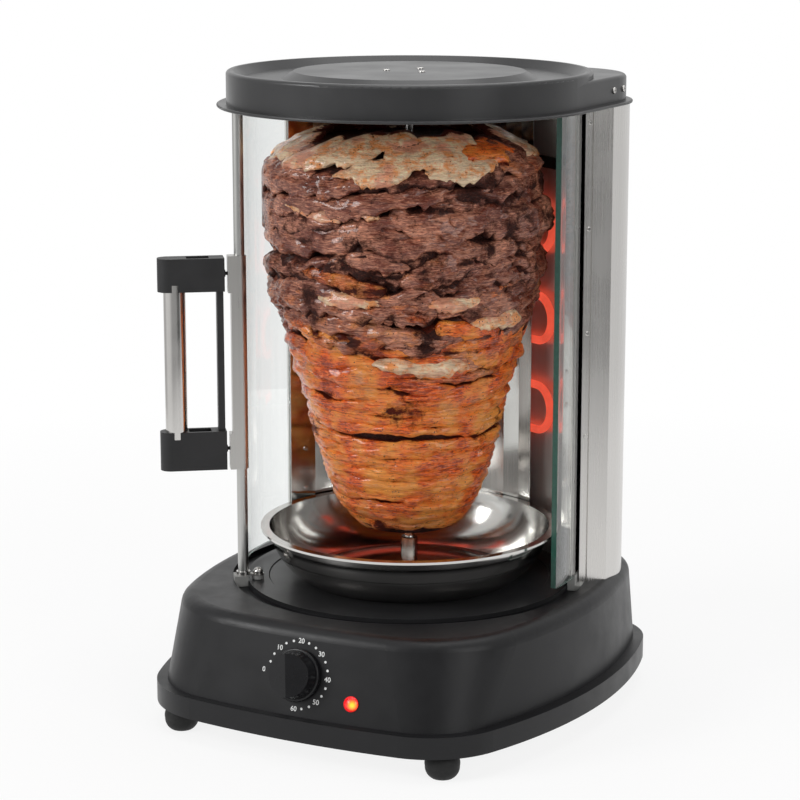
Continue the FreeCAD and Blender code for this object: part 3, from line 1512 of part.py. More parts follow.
def make_arm():
    """The arm that steadies the post from inside: a bar, a glide under its tip and a dome nut on it."""
    low = deck + s.arm_height
    high = low + s.arm_thickness
    tip = s.arm_tip_radius
    root = glass_middle - s.ring_radius + 2
    half = s.arm_width / 2
    bar = box("arm_bar", -half, half, -root, -tip, low, high)
    end = cylinder("arm_end", s.arm_pad_radius, low, high, 0, -tip)
    hole = cylinder("arm_hole", s.small_screw_radius + s.fit_gap, low - OVERCUT, high + OVERCUT, 0, -tip)
    seat = cylinder("arm_seat", s.ring_radius + s.fit_gap, low - OVERCUT, high + OVERCUT, 0, -glass_middle)
    door_node(cut("guide_arm_cut", fuse("guide_arm_fused", bar, end), hole, seat), "guide_arm")
    glide = cylinder("glide", s.arm_pad_radius, deck + s.slide_gap, low, 0, -tip)
    stem = cylinder("stem", s.small_screw_radius, low, high, 0, -tip)
    door_node(fuse("glide_fused", glide, stem), "arm_glide")
    collar = float(s.nut_height) * 0.35
    cap = dome(s.nut_radius, float(s.nut_height) - collar)
    cap.translate(vec(0, 0, collar))
    nut = Part.makeCylinder(float(s.nut_radius), collar).fuse(cap)
    nut.translate(vec(0, -float(tip), high))
    door_shaped("arm_nut", nut)


def make_clip():
    """The steel channel that clasps the post and carries the handle."""
    wall = float(s.clip_wall)
    low, high = float(s.clip_bottom), float(s.clip_bottom) + float(s.clip_height)
    centre = float(glass_middle)
    ring = Part.makeCylinder(float(s.post_radius) + wall, high - low, vec(0, -centre, low))
    reach = float(s.clip_reach)
    half = float(s.post_radius) + wall
    nose = Part.makeBox(2 * half, reach - centre, high - low, vec(-half, -reach, low))
    clip = ring.fuse(nose)
    tab_reach = float(s.clip_tab_reach)
    tab = float(s.clip_tab_height)
    for level in (low, high - tab):
        clip = clip.fuse(Part.makeBox(2 * half, tab_reach - centre, tab, vec(-half, -tab_reach, level)))
    clip = clip.cut(Part.makeCylinder(
        float(s.post_radius) + float(s.fit_gap), high - low, vec(0, -centre, low)))
    pane_room = arc_wall(
        float(glass_inner) - 2 * float(s.fit_gap), float(s.glass_outer_radius) + 2 * float(s.fit_gap),
        low, high, -8, 8)
    clip = clip.cut(pane_room)
    for level in handle_screw_levels():
        clip = clip.cut(Part.makeCylinder(
            float(s.small_screw_radius) + float(s.fit_gap), tab_reach, vec(0, -tab_reach - 1, level),
            vec(0, 1, 0)).cut(Part.makeCylinder(centre, high - low, vec(0, 0, low))))
    door_shaped("handle_clip", clip)


def handle_screw_levels():
    top = float(s.handle_top) - float(s.handle_top_height) / 2
    bottom = float(s.handle_bottom) + float(s.handle_bottom_height) / 2
    return [top, bottom]


def make_handle():
    make_handle_end("handle_top_end", s.handle_top - s.handle_top_height, s.handle_top, True)
    make_handle_end("handle_bottom_end", s.handle_bottom, s.handle_bottom + s.handle_bottom_height, False)
    low = s.handle_bottom + s.handle_bottom_height
    high = s.handle_top - s.handle_top_height
    socket = s.tube_socket
    outer = cylinder("grip_outer", s.tube_radius, low - socket, high + socket, 0, -s.tube_axis_radius)
    inner = cylinder("grip_inner", s.tube_radius - s.tube_wall, low - socket - OVERCUT,
                     high + socket + OVERCUT, 0, -s.tube_axis_radius)
    door_node(cut("handle_tube_cut", outer, inner), "handle_tube")
    half = s.strap_width / 2
    strap = box("strap_bar", -half, half, -(s.strap_inner_radius + s.strap_thickness),
                -s.strap_inner_radius, low, high)
    door_node(settled("handle_strap_group", strap), "handle_strap")
    screw = screw_shape(
        s.small_screw_radius, float(s.handle_root) + 6 - float(s.clip_tab_reach) + 2.5,
        s.small_head_radius, s.small_head_height)
    seat = float(s.clip_reach) - float(s.clip_wall) * 2
    head_side = vec(0, 1, 0)
    spots = [(vec(0, -seat, level), head_side) for level in handle_screw_levels()]
    shank = float(s.handle_root) + 6 - seat
    screw = Part.makeCylinder(float(s.small_screw_radius), shank, vec(0, 0, -shank)).fuse(
        Part.makeCylinder(2 * float(s.small_screw_radius), 1.2, vec(0, 0, -(float(s.handle_root) - seat))))
    door_shaped("handle_screws", copies(screw, spots))


def make_handle_end(name, low, high, is_top):
    """A moulded end with a round nose, a socket for the tube and an open pocket."""
    half = s.handle_width / 2
    nose = handle_reach - half
    body = side_pad(f"{name}_body", [
        (s.handle_root, low), (nose, low), (nose, high), (s.handle_root, high)], s.handle_width)
    round_nose = cylinder(f"{name}_nose", half, low, high, 0, -nose)
    socket_gap = s.tube_radius + s.fit_gap
    if is_top:
        socket = cylinder(f"{name}_socket", socket_gap, low - OVERCUT, low + s.tube_socket + s.fit_gap,
                          0, -s.tube_axis_radius)
        pocket_low, pocket_high = high - s.handle_pocket_depth * 0.25, high + OVERCUT
    else:
        socket = cylinder(f"{name}_socket", socket_gap, high - s.tube_socket - s.fit_gap, high + OVERCUT,
                          0, -s.tube_axis_radius)
        pocket_low, pocket_high = high - s.handle_pocket_depth, high + OVERCUT
    wall = s.handle_pocket_wall
    strap_outer = s.strap_inner_radius + s.strap_thickness
    room = s.tube_axis_radius - s.tube_radius - strap_outer
    pocket_start = strap_outer + room * s.pocket_start_share
    pocket_end = strap_outer + room * s.pocket_end_share
    pocket = box(f"{name}_pocket", -half + wall, half - wall, -pocket_end, -pocket_start,
                 pocket_low, pocket_high)
    screw_level = (low + high) / 2
    drill = doc.addObject("Part::Cylinder", f"{name}_drill")
    bind(drill, Radius=s.small_screw_radius + s.fit_gap, Height=OVERCUT + 6.5)
    drill.Placement = FreeCAD.Placement(
        vec(0, OVERCUT - s.handle_root, screw_level), FreeCAD.Rotation(vec(1, 0, 0), 90))
    drill.setExpression("Placement.Base.y", (OVERCUT - s.handle_root).formula)
    drill.setExpression("Placement.Base.z", screw_level.formula)
    shell = cut(f"{name}_cut", fuse(f"{name}_fused", body, round_nose), socket, pocket, drill)
    door_node(shell, name)


# The front panel

def panel_shaped(label, shape, side, height, out=0.0, roll=0.0):
    """A piece drawn with +Z out of the wall, set on the front panel and rolled about that axis."""
    point, rotation = panel_place(side, height, out)
    thing = doc.addObject("Part::Feature", label)
    thing.Shape = shape
    thing.Label = label
    thing.Placement = FreeCAD.Placement(
        point + vec(0, spit_back, 0), rotation * FreeCAD.Rotation(vec(0, 0, 1), roll))
    part_nodes.append(thing)


def make_knob():
    """A stepped knob whose face falls away on both sides of an upright ridge."""
    depth = float(s.knob_depth)
    skirt = float(s.knob_skirt)
    face = float(s.knob_face_radius)
    waist = float(s.knob_waist_radius)
    knob = Part.makeCylinder(float(s.knob_radius), skirt)
    edges = [edge for edge in knob.Edges if edge.BoundBox.ZMin > skirt - 0.01]
    knob = knob.makeFillet(1.5, edges)
    knob = knob.fuse(Part.makeCone(waist, face, depth - skirt, vec(0, 0, skirt)))
    drop = float(s.knob_ridge_drop)
    for side in (-1, 1):
        wedge = Part.makePolygon([
            vec(0, -2 * waist, depth), vec(side * 2 * waist, -2 * waist, depth - drop * 2 * waist / face),
            vec(side * 2 * waist, -2 * waist, depth + 5), vec(0, -2 * waist, depth + 5),
            vec(0, -2 * waist, depth)])
        knob = knob.cut(Part.Face(wedge).extrude(vec(0, 4 * waist, 0)))
    bore_depth = depth * 0.6
    knob = knob.cut(Part.makeCylinder(
        float(s.timer_shaft_radius) + float(s.running_gap), bore_depth, vec(0, 0, -0.1)))
    rest_roll = 9
    panel_shaped("timer_knob", knob, 0, knob_front_height, s.knob_gap, rest_roll)
    shaft_low = -float(timer_face()) - 8
    shaft = Part.makeCylinder(
        float(s.timer_shaft_radius), bore_depth + float(s.knob_gap) - 0.4 - shaft_low, vec(0, 0, shaft_low))
    panel_shaped("timer_shaft", shaft, 0, knob_front_height, 0, rest_roll)


def timer_face():
    """How far the timer's front lies behind the outside of the wall."""
    return s.base_wall + s.timer_wall_gap


def make_timer():
    half = float(s.timer_width) / 2
    front = float(timer_face())
    depth = float(s.timer_depth)
    body = Part.makeBox(2 * half, 2 * half, depth, vec(-half, -half, -front - depth))
    edges = [edge for edge in body.Edges if abs(edge.BoundBox.ZMax - edge.BoundBox.ZMin) > depth - 0.1]
    body = body.makeFillet(4, edges)
    body = body.cut(Part.makeCylinder(
        float(s.timer_shaft_radius) + float(s.running_gap), 8.5, vec(0, 0, -front - 8.4)))
    collar_reach = front - float(s.base_wall) - 2 * float(s.fit_gap)
    holes = []
    for side in (-1, 1):
        x = side * float(s.timer_screw_pitch) / 2
        spacer = Part.makeCylinder(2 * float(s.small_screw_radius), collar_reach, vec(x, 0, -front))
        body = body.fuse(spacer)
        holes.append(Part.makeCylinder(
            float(s.small_screw_radius) + float(s.fit_gap), 10, vec(x, 0, -front - 9)))
    for hole in holes:
        body = body.cut(hole)
    panel_shaped("timer_body", body, 0, knob_front_height)
    screw = screw_shape(s.small_screw_radius, front + 7, s.small_head_radius, 0.8)
    pitch = float(s.timer_screw_pitch) / 2
    panel_shaped("timer_screws", copies(screw, [(vec(-pitch), UP), (vec(pitch), UP)]), 0, knob_front_height)


def make_lamp():
    height = skirt_top + s.lamp_height
    radius = float(s.lamp_radius)
    rim = 1.0
    cap = dome(radius, s.lamp_dome)
    cap.translate(vec(0, 0, rim))
    neck_length = float(s.base_wall) + 2
    neck = Part.makeCylinder(float(s.lamp_neck_radius), neck_length, vec(0, 0, -neck_length))
    lens = Part.makeCylinder(radius, rim).fuse(cap).fuse(neck)
    panel_shaped("lamp_lens", lens, s.lamp_side, height, float(s.fit_gap) / 2)
    front = float(s.base_wall) + 0.3
    holder = Part.makeCylinder(float(s.lamp_holder_radius), float(s.lamp_holder_length), vec(
        0, 0, -front - float(s.lamp_holder_length)))
    holder = holder.cut(Part.makeCylinder(
        float(s.lamp_neck_radius) + float(s.fit_gap), 12, vec(0, 0, -front - 11)))
    panel_shaped("lamp_holder", holder, s.lamp_side, height)


def make_wiring():
    low = s.foot_height + s.bottom_plate_thickness
    half = s.block_length / 2
    block = box("block", 60 - half, 60 + half, 60, 60 + s.block_width, low, low + s.block_height)
    node(settled("block_group", block), "terminal_block")
    point, outward = gland_place()
    length = float(s.gland_length)
    play = 2 * float(s.fit_gap)
    flange = Part.makeCylinder(
        float(s.gland_flange_radius), float(s.gland_flange), point + outward * play, outward)
    barrel = Part.makeCylinder(
        float(s.gland_radius), length, point + outward * (play - length), outward)
    nut = Part.makeCylinder(
        float(s.gland_flange_radius), float(s.gland_flange),
        point - outward * (float(s.base_wall) + float(s.gland_flange) + play), outward)
    gland = flange.fuse(barrel).fuse(nut)
    gland = gland.cut(Part.makeCylinder(
        float(s.gland_bore_radius), 3 * length, point - outward * 2 * length, outward))
    shaped("cord_gland", gland)


make_base_housing()
make_bottom_plate()
make_feet()
make_bottom_screws()
make_hearth_plate()
make_drive()
make_spit()
make_meat()
make_tray()
make_casing()
make_jambs()
make_linings()
make_heater()
make_lid()
make_brackets()
make_ceiling()
make_glass()
make_post()
make_guide_shoes()
make_arm()
make_clip()
make_handle()
make_knob()
make_timer()
make_lamp()
make_wiring()
doc.recompute()

faults = [item.Name for item in doc.Objects if {"Invalid", "Error"} & set(item.State)]
for piece in part_nodes:
    if piece.Shape.isNull() or not piece.Shape.isValid() or piece.Shape.Volume <= 0:
        faults.append(piece.Label)
if faults:
    raise RuntimeError("these pieces did not build: " + ", ".join(faults))
for piece in part_nodes:
    piece.Shape.exportStep(f"parts/{piece.Label}.step")
print(len(part_nodes), "pieces, spit axis at y", round(spit_back, 3))
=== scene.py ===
"""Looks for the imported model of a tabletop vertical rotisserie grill.

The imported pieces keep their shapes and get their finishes. The stacked meat and the marks round
the timer are made here, each by an operator of its own.
"""

import json
import math
from typing import NamedTuple

import bpy
import numpy as np
from bpy.props import FloatProperty, FloatVectorProperty, IntProperty, PointerProperty
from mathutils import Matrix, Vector
from mathutils.bvhtree import BVHTree


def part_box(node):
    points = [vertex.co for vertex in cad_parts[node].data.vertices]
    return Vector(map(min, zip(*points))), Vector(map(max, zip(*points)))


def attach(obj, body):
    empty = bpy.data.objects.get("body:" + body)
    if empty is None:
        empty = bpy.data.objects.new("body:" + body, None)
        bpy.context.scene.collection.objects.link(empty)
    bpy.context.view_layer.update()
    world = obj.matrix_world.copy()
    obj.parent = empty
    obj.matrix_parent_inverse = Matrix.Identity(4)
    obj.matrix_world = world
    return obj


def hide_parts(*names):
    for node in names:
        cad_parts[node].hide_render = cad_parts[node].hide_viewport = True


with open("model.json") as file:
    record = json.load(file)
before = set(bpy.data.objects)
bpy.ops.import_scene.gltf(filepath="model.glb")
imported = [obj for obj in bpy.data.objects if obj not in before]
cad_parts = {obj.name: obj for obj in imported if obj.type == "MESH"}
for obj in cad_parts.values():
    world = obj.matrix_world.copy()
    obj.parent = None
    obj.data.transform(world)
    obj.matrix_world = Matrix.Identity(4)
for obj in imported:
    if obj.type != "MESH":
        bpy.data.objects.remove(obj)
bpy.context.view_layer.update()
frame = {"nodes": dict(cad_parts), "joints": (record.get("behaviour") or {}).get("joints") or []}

bl_info = {
    "name": "Vertical Rotisserie Grill",
    "version": (1, 0, 0),
    "blender": (4, 5, 0),
    "location": "3D View > Sidebar > Grill",
    "description": "Finishes and detail pieces of a tabletop vertical rotisserie grill",
    "category": "Object",
}


def joint(name):
    """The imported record's entry for a joint."""
    return next(entry for entry in frame["joints"] if entry["name"] == name)


SPIT_AXIS = Vector(joint("spit_turn")["pos_m"])
KNOB_CENTRE = Vector(joint("timer_turn")["pos_m"])
KNOB_AXIS = Vector(joint("timer_turn")["axis"])
MEAT_LOW, MEAT_HIGH = (corner.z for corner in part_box("meat_stack"))


def solid_tree(node):
    """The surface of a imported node, for rays."""
    mesh = frame["nodes"][node].data
    return BVHTree.FromPolygons(
        [vertex.co for vertex in mesh.vertices], [tuple(face.vertices) for face in mesh.polygons])


def linked(name, data):
    """A new object in the scene."""
    made = bpy.data.objects.new(name, data)
    bpy.context.collection.objects.link(made)
    return made


# What a user would change

COLOUR = {"subtype": "COLOR", "size": 4, "min": 0, "max": 1}


class GrillColours(bpy.types.PropertyGroup):
    """Colours of the grill's finishes."""

    moulding: FloatVectorProperty(
        name="Moulded base", description="Black of the base and its small mouldings",
        default=(0.0078, 0.0078, 0.0088, 1), **COLOUR)
    lid: FloatVectorProperty(
        name="Lid", description="Black of the painted lid",
        default=(0.030, 0.030, 0.031, 1), **COLOUR)
    enamel: FloatVectorProperty(
        name="Enamel", description="Black of the hearth plate and the strap over the heater",
        default=(0.015, 0.015, 0.016, 1), **COLOUR)
    steel: FloatVectorProperty(
        name="Steel", description="Tint of the stainless steel",
        default=(0.61, 0.595, 0.575, 1), **COLOUR)
    glow: FloatVectorProperty(
        name="Heater glow", description="Light of the hot heater rod",
        default=(0.86, 0.095, 0.05, 1), **COLOUR)
    glass_edge: FloatVectorProperty(
        name="Glass edge", description="Green of the raw edges of the pane",
        default=(0.012, 0.075, 0.052, 1), **COLOUR)
    lamp: FloatVectorProperty(
        name="Lamp", description="Red of the lamp's lens",
        default=(0.75, 0.012, 0.015, 1), **COLOUR)
    ink: FloatVectorProperty(
        name="Print", description="White of the marks round the timer",
        default=(0.80, 0.81, 0.80, 1), **COLOUR)


class GrillMeat(bpy.types.PropertyGroup):
    """Sizes and colours of the stacked meat."""

    lean: FloatVectorProperty(
        name="Lean", description="Brown of roasted lean meat",
        default=(0.185, 0.036, 0.017, 1), **COLOUR)
    spiced: FloatVectorProperty(
        name="Spiced", description="Orange of the spiced lower slices",
        default=(1.0, 0.155, 0.010, 1), **COLOUR)
    pale: FloatVectorProperty(
        name="Cut face", description="Light pink brown of freshly cut slices",
        default=(0.84, 0.36, 0.22, 1), **COLOUR)
    # Also the colour of the painted shade in hollows, creases and under the slices
    char: FloatVectorProperty(
        name="Char", description="Near black of burnt edges",
        default=(0.022, 0.010, 0.009, 1), **COLOUR)
    fat: FloatVectorProperty(
        name="Fat", description="Cream of the fat",
        default=(1.0, 0.74, 0.48, 1), **COLOUR)
    low_pitch: FloatProperty(
        name="Lower pitch", description="Rise from one row of slices to the next low down",
        default=0.0088, min=0.005, unit="LENGTH")
    high_pitch: FloatProperty(
        name="Upper pitch", description="Rise from one row of slices to the next high up",
        default=0.0125, min=0.005, unit="LENGTH")
    flaps: IntProperty(
        name="Loose pieces", description="Number of short pieces that stand out of the rows",
        default=70, min=0)


class GrillDial(bpy.types.PropertyGroup):
    """Sizes of the marks round the timer."""

    ring_radius: FloatProperty(
        name="Ring radius", description="Distance from the knob's axis to the marks",
        default=0.0273, min=0.022, unit="LENGTH")
    zero_radius: FloatProperty(
        name="Zero radius", description="Distance from the knob's axis to the mark where the dial begins",
        default=0.0318, min=0.022, unit="LENGTH")
    dot_radius: FloatProperty(
        name="Dot radius", description="Radius of a printed dot",
        default=0.00105, min=0.0002, unit="LENGTH")
    number_height: FloatProperty(
        name="Number height", description="Height of a printed number",
        default=0.0041, min=0.001, unit="LENGTH")
    zero_angle: FloatProperty(
        name="Zero angle", description="Where the dial begins, clockwise from straight up",
        default=math.radians(-90), subtype="ANGLE")
    dot_step: FloatProperty(
        name="Step", description="Angle from one mark to the next",
        default=math.radians(15), subtype="ANGLE")


class GrillStage(bpy.types.PropertyGroup):
    """The floor, the lamps and the camera."""

    floor: FloatVectorProperty(
        name="Floor", description="Colour of the floor",
        default=(0.88, 0.88, 0.88, 1), **COLOUR)
    key_power: FloatProperty(
        name="Key lamp", description="Power of the large lamp at the left",
        default=34, min=0, unit="POWER")
    fill_power: FloatProperty(
        name="Fill lamp", description="Power of the lamp at the right",
        default=14, min=0, unit="POWER")
    top_power: FloatProperty(
        name="Top lamp", description="Power of the lamp overhead",
        default=16, min=0, unit="POWER")
    lens: FloatProperty(
        name="Lens", description="Focal length on a 36 mm sensor, in millimetres",
        default=113.37, min=20)


# Materials


class NodeWork:
    """The nodes of one tree, joined as they are made."""

    def __init__(self, tree):
        self.tree = tree
        self.tree.nodes.clear()

    def node(self, kind, inputs=None, **settings):
        made = self.tree.nodes.new(kind)
        for setting, value in settings.items():
            setattr(made, setting, value)
        for socket, value in (inputs or {}).items():
            if isinstance(value, bpy.types.NodeSocket):
                self.tree.links.new(value, made.inputs[socket])
            else:
                made.inputs[socket].default_value = value
        return made

    def math(self, operation, first, second=0.0):
        return self.node("ShaderNodeMath", {0: first, 1: second}, operation=operation).outputs["Value"]

    def vector(self, operation, inputs):
        return self.node("ShaderNodeVectorMath", inputs, operation=operation).outputs["Vector"]

    def ranged(self, value, low, high, to_low=0.0, to_high=1.0):
        made = self.node("ShaderNodeMapRange", {
            "Value": value, "From Min": low, "From Max": high, "To Min": to_low, "To Max": to_high})
        return made.outputs["Result"]

    def shown(self):
        """One for rays that show a surface straight, in a mirror or through glass."""
        path = self.node("ShaderNodeLightPath").outputs
        indirect = self.math("MAXIMUM", path["Is Glossy Ray"], path["Is Transmission Ray"])
        return self.math("MAXIMUM", path["Is Camera Ray"], indirect)


class Finish(NodeWork):
    """One material, built from its coordinates to its surface."""

    def __init__(self, name):
        self.material = bpy.data.materials.new(name)
        self.material.use_nodes = True
        super().__init__(self.material.node_tree)
        self.coordinates = self.node("ShaderNodeTexCoord")
        self.place = self.coordinates.outputs["Object"]

    def stretched(self, scale, location=(0, 0, 0), rotation=(0, 0, 0)):
        made = self.node("ShaderNodeMapping", {
            "Vector": self.place, "Location": location, "Rotation": rotation, "Scale": scale})
        return made.outputs["Vector"]

    def noise(self, scale, detail=3.0, roughness=0.55, vector=None, distortion=0.0):
        made = self.node("ShaderNodeTexNoise", {
            "Vector": vector or self.place, "Scale": scale, "Detail": detail,
            "Roughness": roughness, "Distortion": distortion})
        return made.outputs["Fac"]

    def mixed(self, factor, first, second, blend="MIX"):
        made = self.node("ShaderNodeMix", {0: factor, 6: first, 7: second},
                         data_type="RGBA", blend_type=blend)
        return made.outputs[2]

    def shade(self, colour, factor, low, high):
        """The colour, darkened and lightened between low and high by the factor."""
        level = self.ranged(factor, 0.25, 0.75, low, high)
        grey = self.node("ShaderNodeCombineColor", {"Red": level, "Green": level, "Blue": level})
        return self.mixed(1.0, colour, grey.outputs["Color"], "MULTIPLY")

    def bump(self, height, depth, strength=1.0, under=None):
        inputs = {"Strength": strength, "Distance": depth, "Height": height}
        if under is not None:
            inputs["Normal"] = under
        return self.node("ShaderNodeBump", inputs).outputs["Normal"]

    def principled(self, **values):
        inputs = {
            key.replace("_", " ").title().replace("Ior", "IOR"): value for key, value in values.items()}
        return self.node("ShaderNodeBsdfPrincipled", inputs).outputs["BSDF"]

    def done(self, shader):
        self.node("ShaderNodeOutputMaterial", {"Surface": shader})
        return self.material


def grained(name, colour, rough, fine, broad, spread, tint, relief, **surface):
    """A finish with a fine grain and broad patches.

    fine and broad are the scale and detail of the two patterns, spread and tint say how far the
    roughness and the colour vary over the patches, and relief is the grain's depth and strength.
    """
    finish = Finish(name)
    grain, patches = finish.noise(*fine), finish.noise(*broad)
    return finish.done(finish.principled(
        base_color=finish.shade(tuple(colour), patches, *tint),
        roughness=finish.ranged(patches, 0.3, 0.7, rough - spread[0], rough + spread[1]),
        normal=finish.bump(grain, *relief), **surface))


def moulded(name, colour, rough=0.38):
    """Moulded plastic: a fine even grain with faint patches of wear."""
    return grained(
        name, colour, rough, fine=(2600, 2.0), broad=(38, 4.0), spread=(0.05, 0.06), tint=(0.85, 1.2),
        relief=(0.00003, 0.6), specular_ior_level=0.3)


def painted(name, colour, rough=0.33):
    """Baked paint on sheet steel, with the slight waviness of a sprayed coat."""
    return grained(
        name, colour, rough, fine=(420, 2.0), broad=(22, 3.0), spread=(0.04, 0.05), tint=(0.88, 1.14),
        relief=(0.00006, 0.35), specular_ior_level=0.4)


def cast_metal(name, colour, rough):
    """Die-cast or sintered metal, dull and slightly pitted."""
    return grained(
        name, colour, rough, fine=(1500, 3.0), broad=(60, 3.0), spread=(0.05, 0.08), tint=(0.8, 1.15),
        relief=(0.00004, 0.6), metallic=0.9)


def rolled_steel(name, colour, rough, grain_scale, streak=0.10, depth=0.00001, metallic=1.0):
    """Stainless sheet whose rolling lines run where grain_scale is small."""
    finish = Finish(name)
    lines = finish.noise(1.0, 3.0, 0.6, finish.stretched(grain_scale))
    smudge = finish.noise(14, 3.0)
    roughness = finish.math(
        "ADD", finish.ranged(lines, 0.3, 0.7, rough - 0.02, rough + 0.03),
        finish.ranged(smudge, 0.35, 0.7, -0.02, 0.03))
    tinted = finish.shade(tuple(colour), lines, 1 - streak, 1 + streak)
    normal = finish.bump(lines, depth, 0.5)
    return finish.done(finish.principled(
        base_color=tinted, metallic=metallic, roughness=roughness, normal=normal))


def turned_steel(name, colour, rough):
    """Bright turned or drawn steel: nearly a mirror, with small pits and soft smears."""
    finish = Finish(name)
    smear = finish.noise(26, 4.0, 0.6)
    return finish.done(finish.principled(
        base_color=finish.shade(tuple(colour), smear, 0.94, 1.05), metallic=1.0,
        roughness=finish.ranged(smear, 0.35, 0.7, rough, rough + 0.07),
        normal=finish.bump(finish.noise(900, 2.0), 0.000004, 0.4)))


def rubber(name, colour):
    """Black rubber with a powdery, worn surface."""
    finish = Finish(name)
    dust = finish.ranged(finish.noise(120, 4.0, 0.6), 0.5, 0.8, 0.0, 0.25)
    return finish.done(finish.principled(
        base_color=finish.mixed(dust, tuple(colour), (0.06, 0.058, 0.055, 1)), roughness=0.62,
        normal=finish.bump(finish.noise(1900, 3.0), 0.00006, 0.7), specular_ior_level=0.3))


def glowing_rod(name, glow):
    """The heater's sheath: dark oxide that glows, a little duller in patches."""
    finish = Finish(name)
    return finish.done(finish.principled(
        base_color=(0.10, 0.035, 0.025, 1), roughness=0.7,
        normal=finish.bump(finish.noise(900, 3.0), 0.00005, 0.6),
        emission_color=finish.shade(tuple(glow), finish.noise(55, 3.0), 0.72, 1.12),
        emission_strength=0.92))


def ceramic(name):
    """Unglazed cream ceramic with scorched patches."""
    finish = Finish(name)
    scorch = finish.ranged(finish.noise(160, 4.0, 0.6), 0.45, 0.75)
    return finish.done(finish.principled(
        base_color=finish.mixed(scorch, (0.62, 0.57, 0.48, 1), (0.24, 0.19, 0.15, 1)), roughness=0.75,
        normal=finish.bump(finish.noise(1300, 3.0), 0.00005, 0.6)))


def pane(name, edge_colour):
    """Clear glass whose raw edges show green. Lamps shine through it without a hard shadow."""
    finish = Finish(name)
    outward = finish.vector("SUBTRACT", {0: finish.place, 1: (SPIT_AXIS.x, SPIT_AXIS.y, 0)})
    level = finish.vector("MULTIPLY", {0: outward, 1: (1, 1, 0)})
    facing = finish.node("ShaderNodeVectorMath", {
        0: finish.vector("NORMALIZE", {0: level}), 1: finish.coordinates.outputs["Normal"]},
        operation="DOT_PRODUCT")
    is_face = finish.ranged(finish.math("ABSOLUTE", facing.outputs["Value"]), 0.45, 0.7)
    smear = finish.noise(30, 4.0, 0.6)
    clear = finish.principled(
        base_color=(0.965, 0.985, 0.975, 1), roughness=finish.ranged(smear, 0.5, 0.8, 0.0, 0.02),
        ior=1.46, transmission_weight=1.0)
    edge = finish.principled(
        base_color=finish.shade(tuple(edge_colour), finish.noise(500, 3.0), 0.8, 1.3),
        roughness=0.16, ior=1.46, transmission_weight=0.15)
    solid = finish.node("ShaderNodeMixShader", {0: is_face, 1: edge, 2: clear})
    through = finish.node("ShaderNodeBsdfTransparent", {"Color": (0.93, 0.955, 0.945, 1)})
    is_shadow = finish.node("ShaderNodeLightPath").outputs["Is Shadow Ray"]
    shader = finish.node("ShaderNodeMixShader", {
        0: is_shadow, 1: solid.outputs["Shader"], 2: through.outputs["BSDF"]})
    return finish.done(shader.outputs["Shader"])


def red_lens(name, colour):
    """The lamp's faceted lens, lit from inside, with a painted yellow glint near one edge."""
    finish = Finish(name)
    low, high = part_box("lamp_lens")
    # A painted glint: a yellow spot on the lens's front face near its right edge, which also brightens the
    # glow there
    glint_centre = Vector((high.x - 0.0032, low.y, (low.z + high.z) / 2 + 0.0006))
    distance = finish.node("ShaderNodeVectorMath", {0: finish.place, 1: glint_centre}, operation="DISTANCE")
    glint = finish.ranged(distance.outputs["Value"], 0.0055, 0.0015)
    facets = finish.node("ShaderNodeTexVoronoi", {"Vector": finish.place, "Scale": 620})
    light = finish.mixed(glint, (0.95, 0.02, 0.02, 1), (1.0, 0.62, 0.03, 1))
    strength = finish.ranged(glint, 0.0, 1.0, 0.42, 1.3)
    shader = finish.principled(
        base_color=finish.shade(tuple(colour), facets.outputs["Distance"], 0.7, 1.3),
        roughness=0.12, normal=finish.bump(facets.outputs["Distance"], 0.0002, 0.5),
        emission_color=light, emission_strength=strength)
    return finish.done(shader)


def print_ink(name, colour):
    """Screen-printed ink, a little uneven."""
    finish = Finish(name)
    uneven = finish.noise(1600, 3.0)
    tinted = finish.shade(tuple(colour), uneven, 0.86, 1.05)
    return finish.done(finish.principled(base_color=tinted, roughness=0.55))


def give(material, *nodes):
    """Puts a finish on CAD pieces, in the slots that they have."""
    for name in nodes:
        for slot in frame["nodes"][name].material_slots:
            slot.material = material


# Repeatable noise for the meat's shape


def cell_numbers(cells, seed):
    """A fixed number from 0 to 1 for every lattice cell."""
    mixed = cells[..., 0] * 73856093 ^ cells[..., 1] * 19349663 ^ cells[..., 2] * 83492791
    mixed = mixed ^ (seed * 40503 + 977)
    mixed = ((mixed ^ (mixed >> 13)) * 1274126177) & 0x7FFFFFFF
    mixed = ((mixed ^ (mixed >> 15)) * 668265263) & 0x7FFFFFFF
    return ((mixed ^ (mixed >> 12)) & 0xFFFF) / 65535.0


def soft_noise(points, seed):
    """Smooth noise from -1 to 1 with a cell of one unit."""
    points = np.asarray(points, float)
    cells = np.floor(points).astype(np.int64)
    share = points - cells
    share = share * share * (3 - 2 * share)
    total = np.zeros(points.shape[:-1])
    for corner in range(8):
        step = np.array([corner & 1, corner >> 1 & 1, corner >> 2 & 1])
        weight = np.prod(np.where(step, share, 1 - share), axis=-1)
        total += weight * cell_numbers(cells + step, seed)
    return total * 2 - 1


def rough_noise(points, seed, octaves=3):
    """Several layers of soft noise, each half as large and twice as fine."""
    total = np.zeros(np.asarray(points).shape[:-1])
    size = 1.0
    for octave in range(octaves):
        total += size * soft_noise(np.asarray(points) * 2.0 ** octave + 17.3 * octave, seed + octave)
        size *= 0.5
    return total / (2 - 2 * size)


# The stacked meat

GUIDE_LEVELS = 90
GUIDE_TURNS = 120
# Levels on each side over which the guide is smoothed, and how far it keeps from the load's ends
GUIDE_SMOOTHING = 4
GUIDE_MARGIN = 0.0004
# Where the rays that measure the load start, and the least and greatest radius of a slice
RAY_REACH = 0.2
MEAT_HEART = 0.006
MEAT_REACH = 0.1235


def levelled(table, reach):
    """The table, averaged over the rows within reach of each row."""
    padded = np.pad(table, ((reach, reach), (0, 0)), mode="edge")
    rows = 2 * reach + 1
    return sum(padded[shift:shift + len(table)] for shift in range(rows)) / rows


